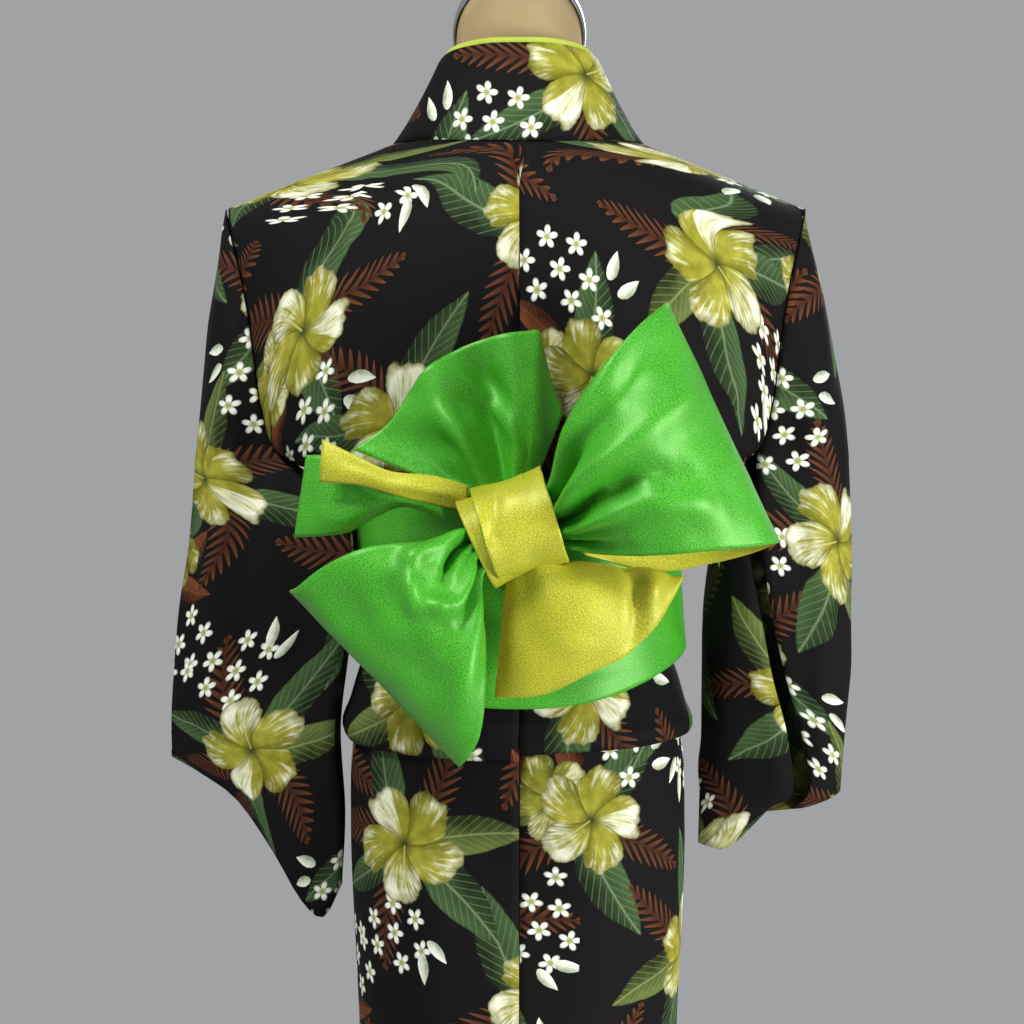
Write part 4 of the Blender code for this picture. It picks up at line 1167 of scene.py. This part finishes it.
# both edges of the cloth at each row along its length: x, z, x, z, distance back, crown
sashRows = metres({
    "upperLoop": [
        (-2, 1022, -8, 992, 192, 2), (-21, 1037, -43, 987, 210, 4), (-35, 1085, -81, 984, 240, 12),
        (-64, 1132, -132, 987, 256, 14), (-93, 1165, -176, 990, 246, 10), (-114, 1182, -202, 992, 226, 4),
        (-118, 1184, -210, 991, 200, 0), (-108, 1173, -195, 981, 170, -4), (-79, 1129, -161, 970, 152, -6),
        (-49, 1075, -114, 963, 150, -4), (-25, 1027, -54, 978, 170, 0),
    ],
    "lowerLoop": [
        (10, 1004, 4, 978, 192, 2), (45, 1002, 31, 961, 210, 4), (75, 995, 27, 917, 232, 10),
        (118, 991, 27, 877, 240, 12), (155, 975, 33, 836, 232, 8), (181, 955, 45, 814, 216, 4),
        (187, 951, 50, 807, 192, 0), (175, 949, 53, 815, 164, -4), (134, 959, 46, 853, 146, -6),
        (87, 970, 38, 904, 144, -4), (51, 984, 31, 950, 168, 0),
    ],
    "lowerTail": [
        (10, 972, 20.5, 861, 176, 1), (6, 973, 11, 861.5, 181, 3), (-2, 974, -16, 864, 186, 6),
        (-13, 975, -56, 883, 194, 8), (-23, 975, -90, 900, 192, 10), (-34, 972, -118, 932, 184, 10),
        (-44, 973, -137, 963, 170, 4), (-46, 967, -130, 953, 154, 0), (-37, 957, -101, 914, 144, 0),
    ],
    "fanTail": [
        (-11, 1034, -36, 1094, 134, 2), (-9, 1034, -24, 1131, 140, 6), (-6, 1034, -16.5, 1157, 144, 9),
        (-4, 1034, -14.5, 1164, 145, 9), (-2, 1034, -8, 1163.5, 147, 8), (3, 1033, 8, 1162, 152, 4),
        (11, 1032, 35, 1155, 146, -6), (18, 1031, 60, 1144, 150, 6), (26, 1030, 80, 1129, 158, 12),
        (32, 1029, 95, 1108, 154, 4), (38, 1028, 109, 1087, 154, -2), (43, 1027, 138, 1065, 158, 2),
    ],
    "stripTail": [
        (42, 1036, 45, 1016, 176, 1), (73, 1045, 71, 1021, 184, 3), (105, 1048, 98, 1028, 186, 3),
        (132, 1060, 131, 1037, 182, 4), (162, 1074, 164, 1039, 174, 4),
    ],
    "sideFlap": [
        (64, 1023, 64, 1007, 144, 2), (100, 1032, 100, 1017, 152, 3), (121, 1042, 121, 1009, 156, 5),
        (141, 1053, 141, 997, 156, 6), (163, 1060, 165, 993, 152, 5), (178, 1060, 189, 991, 144, 3),
    ],
})

# soft folds of each tied piece: across, along, across, along in hundredths of its width and length,
# half width and depth in millimetres, positive outwards
sashFolds = {
    "upperLoop": [
        (10, -5, 4, 34, 8, 5), (26, 0, 16, 28, 9, -9), (20, 26, 12, 42, 12, -6), (40, -2, 36, 44, 12, 11),
        (60, -5, 52, 20, 7, -16), (52, 20, 62, 36, 13, -12), (72, -5, 68, 26, 7, 10),
        (64, 26, 80, 40, 14, 6), (88, -5, 92, 22, 7, -8), (34, 36, 28, 52, 16, 4), (40, 110, 36, 66, 8, 7),
        (66, 110, 72, 70, 8, -8),
    ],
    "lowerLoop": [
        (16, 2, 32, 22, 10, -17), (34, 18, 40, 24, 9, -6), (2, 10, 10, 25, 8, 7), (8, 24, 38, 31, 8, 10),
        (38, 31, 60, 22, 8, 9), (58, 23, 52, 2, 8, 9), (72, -5, 70, 24, 8, -8), (84, 2, 84, 46, 12, 7),
        (30, 34, 16, 50, 16, -4), (60, 34, 58, 52, 18, -4), (40, 110, 36, 66, 8, 6),
    ],
    "lowerTail": [
        (43, 73, 96, 45, 4.5, -7), (62, 70, 100, 53, 9, 7.4), (60, 36, 100, 26, 14, 3),
        (90, 70, 96, 88, 10, -4),
    ],
    "fanTail": [
        (110, 70, 20, 28, 6.5, 4), (110, 60, 42, 34, 10, -3.4), (110, 83, 42, 52, 10, -3.2),
        (100, 26, 20, 6, 18, 3), (100, 93, 20, 70, 12, -3),
    ],
    "stripTail": [
        (50, 0, 44, 50, 5, 2.2), (30, 40, 36, 90, 6, -1.8),
    ],
    "sideFlap": [
        (44, 0, 34, 60, 6, -3), (70, 20, 80, 90, 7, 2.6),
    ],
}


def pressFolds(grid, rows, outFrom, seed):
    # moves a sheet's grid outwards and inwards along its own folds
    across = np.gradient(grid, axis=1)
    along = np.gradient(grid, axis=0)
    normals = np.cross(across, along)
    normals /= np.maximum(np.linalg.norm(normals, axis=2), 1e-9)[..., None]
    if (normals * (grid - np.array(outFrom))).sum() < 0:
        normals = -normals
    width = np.linalg.norm(np.diff(grid, axis=1), axis=2).sum(axis=1).mean()
    length = np.linalg.norm(np.diff(grid, axis=0), axis=2).sum(axis=0).mean()
    a, b = np.meshgrid(np.linspace(0, 1, grid.shape[1]), np.linspace(0, 1, grid.shape[0]))
    points = np.stack([a.ravel() * width, b.ravel() * length], axis=1)
    lines = [(p / 100 * width, q / 100 * length, r / 100 * width, t / 100 * length,
              half / 1000, deep / 1000 * sash["foldDepth"]) for p, q, r, t, half, deep in rows]
    size, depth = sash["unevenness"]["tied"]
    shift = creaseShift(points, lines) + softNoise(grid.reshape(-1, 3), size, seed) * depth
    return grid + normals * shift.reshape(a.shape)[..., None]


def tiedNet(rows, columns=6):
    amounts = [c / columns for c in range(columns + 1)]
    return [[(blend(x1, x2, t), y + crown * math.sin(math.pi * t), blend(z1, z2, t)) for t in amounts]
            for x1, z1, x2, z2, y, crown in rows]


def makeTied(name, node, materials, outFrom, seed):
    grid = pressFolds(refine(tiedNet(sashRows[name]), sash["fineStep"]), sashFolds[name], outFrom, seed)
    piece = makeSheet("sash_" + name, [(grid, flatCut(grid))], materials, sash["thickness"], None, outFrom)
    finishSheet(piece, [node])


def bandNet():
    rows = []
    count = sash["bandColumns"]
    for level in (0.0, 0.33, 0.67, 1.0):
        row = []
        for c in range(count):
            degrees = 360 * c / count
            turn = min(degrees, 360 - degrees)
            facing = math.cos(math.radians(turn))
            heights = []
            for back, beside, front in (sash["bandBottom"], sash["bandTop"]):
                end = back if facing > 0 else front
                heights.append(beside + (end - beside) * facing ** 2)
            low, high = sash["bandFlare"]
            flare = sash["bandClearance"] + low * (1 - level) ** 2 + high * level ** 3
            x, y = plan(*(half + flare for half in sash["bandHalf"]), turn)
            row.append((x if degrees <= 180 else -x, y, blend(heights[0], heights[1], level)))
        rows.append(row)
    return rows


def makeBand():
    grid = refine(bandNet(), sash["fineStep"], closedColumns=True)
    piece = makeSheet("sash_band", [(grid, flatCut(grid))], [greenSatin, yellowSatin], sash["thickness"],
                      bandShift, closed=True)
    finishSheet(piece, ["obi_band"])


# creases of the band under the pull of the knot: x, height, x, height, half width, depth
bandCreases = metres([
    (20, 905, 125, 885, 7, 2), (20, 880, 115, 900, 6, -2), (-20, 900, -130, 930, 7, 2.2),
    (-30, 870, -110, 880, 6, -1.8), (30, 1000, 130, 980, 8, 2), (-30, 1005, -125, 985, 7, -1.8),
    (-100, 960, -30, 945, 7, 1.8), (100, 940, 30, 955, 7, -1.8),
])


def bandShift(places, normals, uv):
    size, depth = sash["unevenness"]["band"]
    ease = 1 - 0.7 * np.abs(normals[:, 0])    # creases die away round the sides
    return creaseShift(places[:, (0, 2)], bandCreases) * ease + softNoise(places, size, 5.0) * depth


def knotNet():
    turn = Matrix.Rotation(math.radians(sash["knotTilt"]), 3, "Y")
    rows = []
    for r in range(7):
        along = blend(-1.0, 1.0, r / 6)
        swell = 1.0 - 0.06 * (1 - along * along)
        row = []
        for c in range(20):
            angle = 2 * math.pi * c / 20
            point = Vector((along * sash["knotHalfLength"],
                            power(math.cos(angle), 0.8) * sash["knotReach"] * swell,
                            power(math.sin(angle), 0.8) * sash["knotHalfHeight"] * swell))
            row.append(tuple(Vector(sash["knotCentre"]) + turn @ point))
        rows.append(row)
    return rows


def makeKnot():
    grid = refine(knotNet(), sash["knotStep"], closedColumns=True)
    centre = np.array(sash["knotCentre"])
    below = grid.copy()
    start, end, half, depth = sash["dimple"]
    away = segmentField(start, end, grid[..., (0, 2)].reshape(-1, 2))[0]
    inward = np.exp(-(away / half) ** 2).reshape(grid.shape[:2]) * (grid[..., 1] > centre[1])
    grid[..., 1] -= inward * depth
    size, depth = sash["unevenness"]["knot"]
    uneven = softNoise(grid.reshape(-1, 3), size, 8.0).reshape(grid.shape[:2])
    grid = grid + (uneven * depth)[..., None] * (grid - centre) / sash["knotHalfHeight"]
    # the turn beneath shows a little beyond the upper one, down and towards the left
    lean = np.array(Matrix.Rotation(math.radians(sash["underLean"]), 3, "Y"))
    below = (below - centre) @ lean.T * np.array(sash["underScale"]) + centre + np.array(sash["underShift"])
    patches = [(grid, flatCut(grid)), (below, flatCut(below))]
    piece = makeSheet("sash_knot", patches, [yellowSatin, greenSatin], sash["thickness"], None, centre,
                      closed=True)
    finishSheet(piece, ["obi_knot"])


print("sash")
makeBand()
makeKnot()
green, yellow = [greenSatin, yellowSatin], [yellowSatin, greenSatin]
makeTied("upperLoop", "obi_loop_upper", green, (-0.11, 0.203, 1.06), 1.0)
makeTied("lowerLoop", "obi_loop_lower", green, (0.09, 0.190, 0.91), 2.0)
makeTied("lowerTail", "obi_tail_lower", yellow, (-0.05, 0.05, 0.92), 3.0)
makeTied("fanTail", "obi_tail_fan", green, (0.03, 0.0, 1.08), 4.0)
makeTied("stripTail", "obi_tail_strip", yellow, (0.10, 0.0, 1.04), 5.0)
makeTied("sideFlap", "obi_tail_flap", green, (0.12, 0.0, 1.02), 6.0)

form = {
    "neckTilt": 42,
    "neckTop": 1.428,
    "neckRadius": 0.056,
    "neckSlope": 0.9,          # of the tilt, kept by the plate on the neck
    "columns": 32,
    "fineStep": 0.007,
    "capThickness": 0.009,
    "capRise": 0.0051,
    "poleRadius": 0.0125,
    "poleHeights": (0.0205, 0.6995),
    "baseRadius": 0.19,
    "baseTopRadius": 0.030,
    "baseThickness": 0.020,
}

# height, half width, back depth, front depth
formRows = metres([
    (700, 120, 94, 84), (725, 130, 98, 86), (780, 136, 101, 90), (830, 128, 95, 85), (885, 122, 89, 80),
    (950, 119, 87, 79), (1030, 128, 94, 84), (1110, 148, 104, 90), (1180, 172, 110, 90),
    (1225, 196, 102, 80), (1255, 212, 84, 64), (1276, 212, 56, 44), (1291, 194, 38, 34),
    (1304, 160, 40, 36), (1316, 122, 44, 40), (1330, 88, 50, 45), (1350, 67, 53, 50), (1385, 58, 55, 53),
])


def makeForm():
    net = []
    for z, wide, back, front in formRows:
        row = []
        for c in range(form["columns"]):
            degrees = 360 * c / form["columns"]
            x, y = plan(wide, back, front, min(degrees, 360 - degrees))
            row.append((x if degrees <= 180 else -x, y, z))
        net.append(row)
    slope = math.tan(math.radians(form["neckTilt"])) * form["neckSlope"]
    radius = form["neckRadius"]
    angles = [2 * math.pi * c / form["columns"] for c in range(form["columns"])]
    net.append([(radius * math.sin(a), radius * math.cos(a), form["neckTop"] + radius * math.cos(a) * slope)
                for a in angles])
    grid = refine(net, form["fineStep"], closedColumns=True)
    work = bmesh.new()
    rings = [[work.verts.new(p) for p in row] for row in grid]
    count = grid.shape[1]
    for low, high in zip(rings, rings[1:]):
        for c in range(count):
            work.faces.new((low[c], low[(c + 1) % count], high[(c + 1) % count], high[c]))
    work.faces.new(rings[0])
    work.faces.new(rings[-1])
    bmesh.ops.recalc_face_normals(work, faces=work.faces)
    piece = meshPiece("formTorso", work, [formJersey])
    piece.data.shade_smooth()
    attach(piece, "root")
    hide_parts("form_torso")


def finishHard(piece, name, material, node, rounding, steps):
    # rounds the edges, leaves the piece at the origin and hands it over
    piece.name = name
    edge = piece.modifiers.new("edge", "BEVEL")
    edge.width, edge.segments, edge.limit_method = rounding, steps, "ANGLE"
    bpy.ops.object.modifier_apply(modifier="edge")
    bpy.ops.object.transform_apply(location=True, rotation=True, scale=True)
    bpy.ops.object.shade_smooth_by_angle(angle=math.radians(35))
    piece.data.materials.clear()
    piece.data.materials.append(material)
    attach(piece, "root")
    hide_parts(node)


def makeStand():
    slope = math.atan(math.tan(math.radians(form["neckTilt"])) * form["neckSlope"])
    bpy.ops.mesh.primitive_cylinder_add(vertices=96, radius=1, depth=form["capThickness"])
    cap = bpy.context.object
    radius = form["neckRadius"]
    cap.scale = (radius + 0.004, (radius + 0.003) / math.cos(slope), 1)
    bpy.ops.object.transform_apply(location=False, rotation=False, scale=True)
    cap.rotation_euler = (slope, 0, 0)
    up = Matrix.Rotation(slope, 3, "X") @ Vector((0, 0, form["capRise"]))
    cap.location = (0, up.y, form["neckTop"] + up.z)
    finishHard(cap, "neckCap", chromePlate, "form_neck_cap", 0.003, 5)
    low, high = form["poleHeights"]
    bpy.ops.mesh.primitive_cylinder_add(vertices=48, radius=form["poleRadius"], depth=high - low,
                                        location=(0, 0, (low + high) / 2))
    finishHard(bpy.context.object, "pole", chromePlate, "form_pole", 0.001, 3)
    thick = form["baseThickness"]
    bpy.ops.mesh.primitive_cone_add(vertices=96, radius1=form["baseRadius"], radius2=form["baseTopRadius"],
                                    depth=thick, location=(0, 0, thick / 2))
    finishHard(bpy.context.object, "standBase", ironPaint, "form_base", 0.003, 4)


print("dress form")
makeForm()
makeStand()

print("light and camera")
bpy.ops.mesh.primitive_circle_add(vertices=96, radius=1.6, fill_type="NGON")
floor = bpy.context.object
floor.name = "floor"
# matt pale paint
paleFloor = bpy.data.materials.new("paleFloor")
paleFloor.use_nodes = True
paint = paleFloor.node_tree.nodes["Principled BSDF"]
paint.inputs["Base Color"].default_value = linear("#b4b4b3")
paint.inputs["Roughness"].default_value = 0.9
floor.data.materials.append(paleFloor)

world = bpy.data.worlds.new("studio")
bpy.context.scene.world = world
world.use_nodes = True
background = world.node_tree.nodes["Background"]
background.inputs[0].default_value = linear("#dcdde0")
background.inputs[1].default_value = 0.50


def areaLight(name, place, target, size, watts):
    lamp = bpy.data.lights.new(name, "AREA")
    lamp.size = size
    lamp.energy = watts
    holder = bpy.data.objects.new(name, lamp)
    holder.location = place
    holder.rotation_euler = (Vector(target) - Vector(place)).to_track_quat("-Z", "Y").to_euler()
    bpy.context.scene.collection.objects.link(holder)


areaLight("keyLight", (1.1, 1.5, 3.0), (0, 0.1, 1.1), 0.8, 72)
areaLight("fillLight", (-1.9, 1.5, 0.75), (0, 0, 1.0), 0.9, 62)
areaLight("frontLight", (-1.0, -2.6, 2.2), (0, 0, 1.0), 1.6, 60)

# the camera stands behind the robe at chest height
view = {
    "place": (0.0064, 1.8, 1.11),
    "downward": 3.37,          # degrees
    "lens": 69.6,
}
lens = bpy.data.cameras.new("camera")
lens.lens = view["lens"]
lens.sensor_width = 36
lens.dof.use_dof = False
camera = bpy.data.objects.new("camera", lens)
bpy.context.scene.collection.objects.link(camera)
camera.location = view["place"]
camera.rotation_euler = (math.radians(90 - view["downward"]), 0, math.pi)
bpy.context.scene.camera = camera
bpy.context.scene.view_settings.view_transform = "Standard"
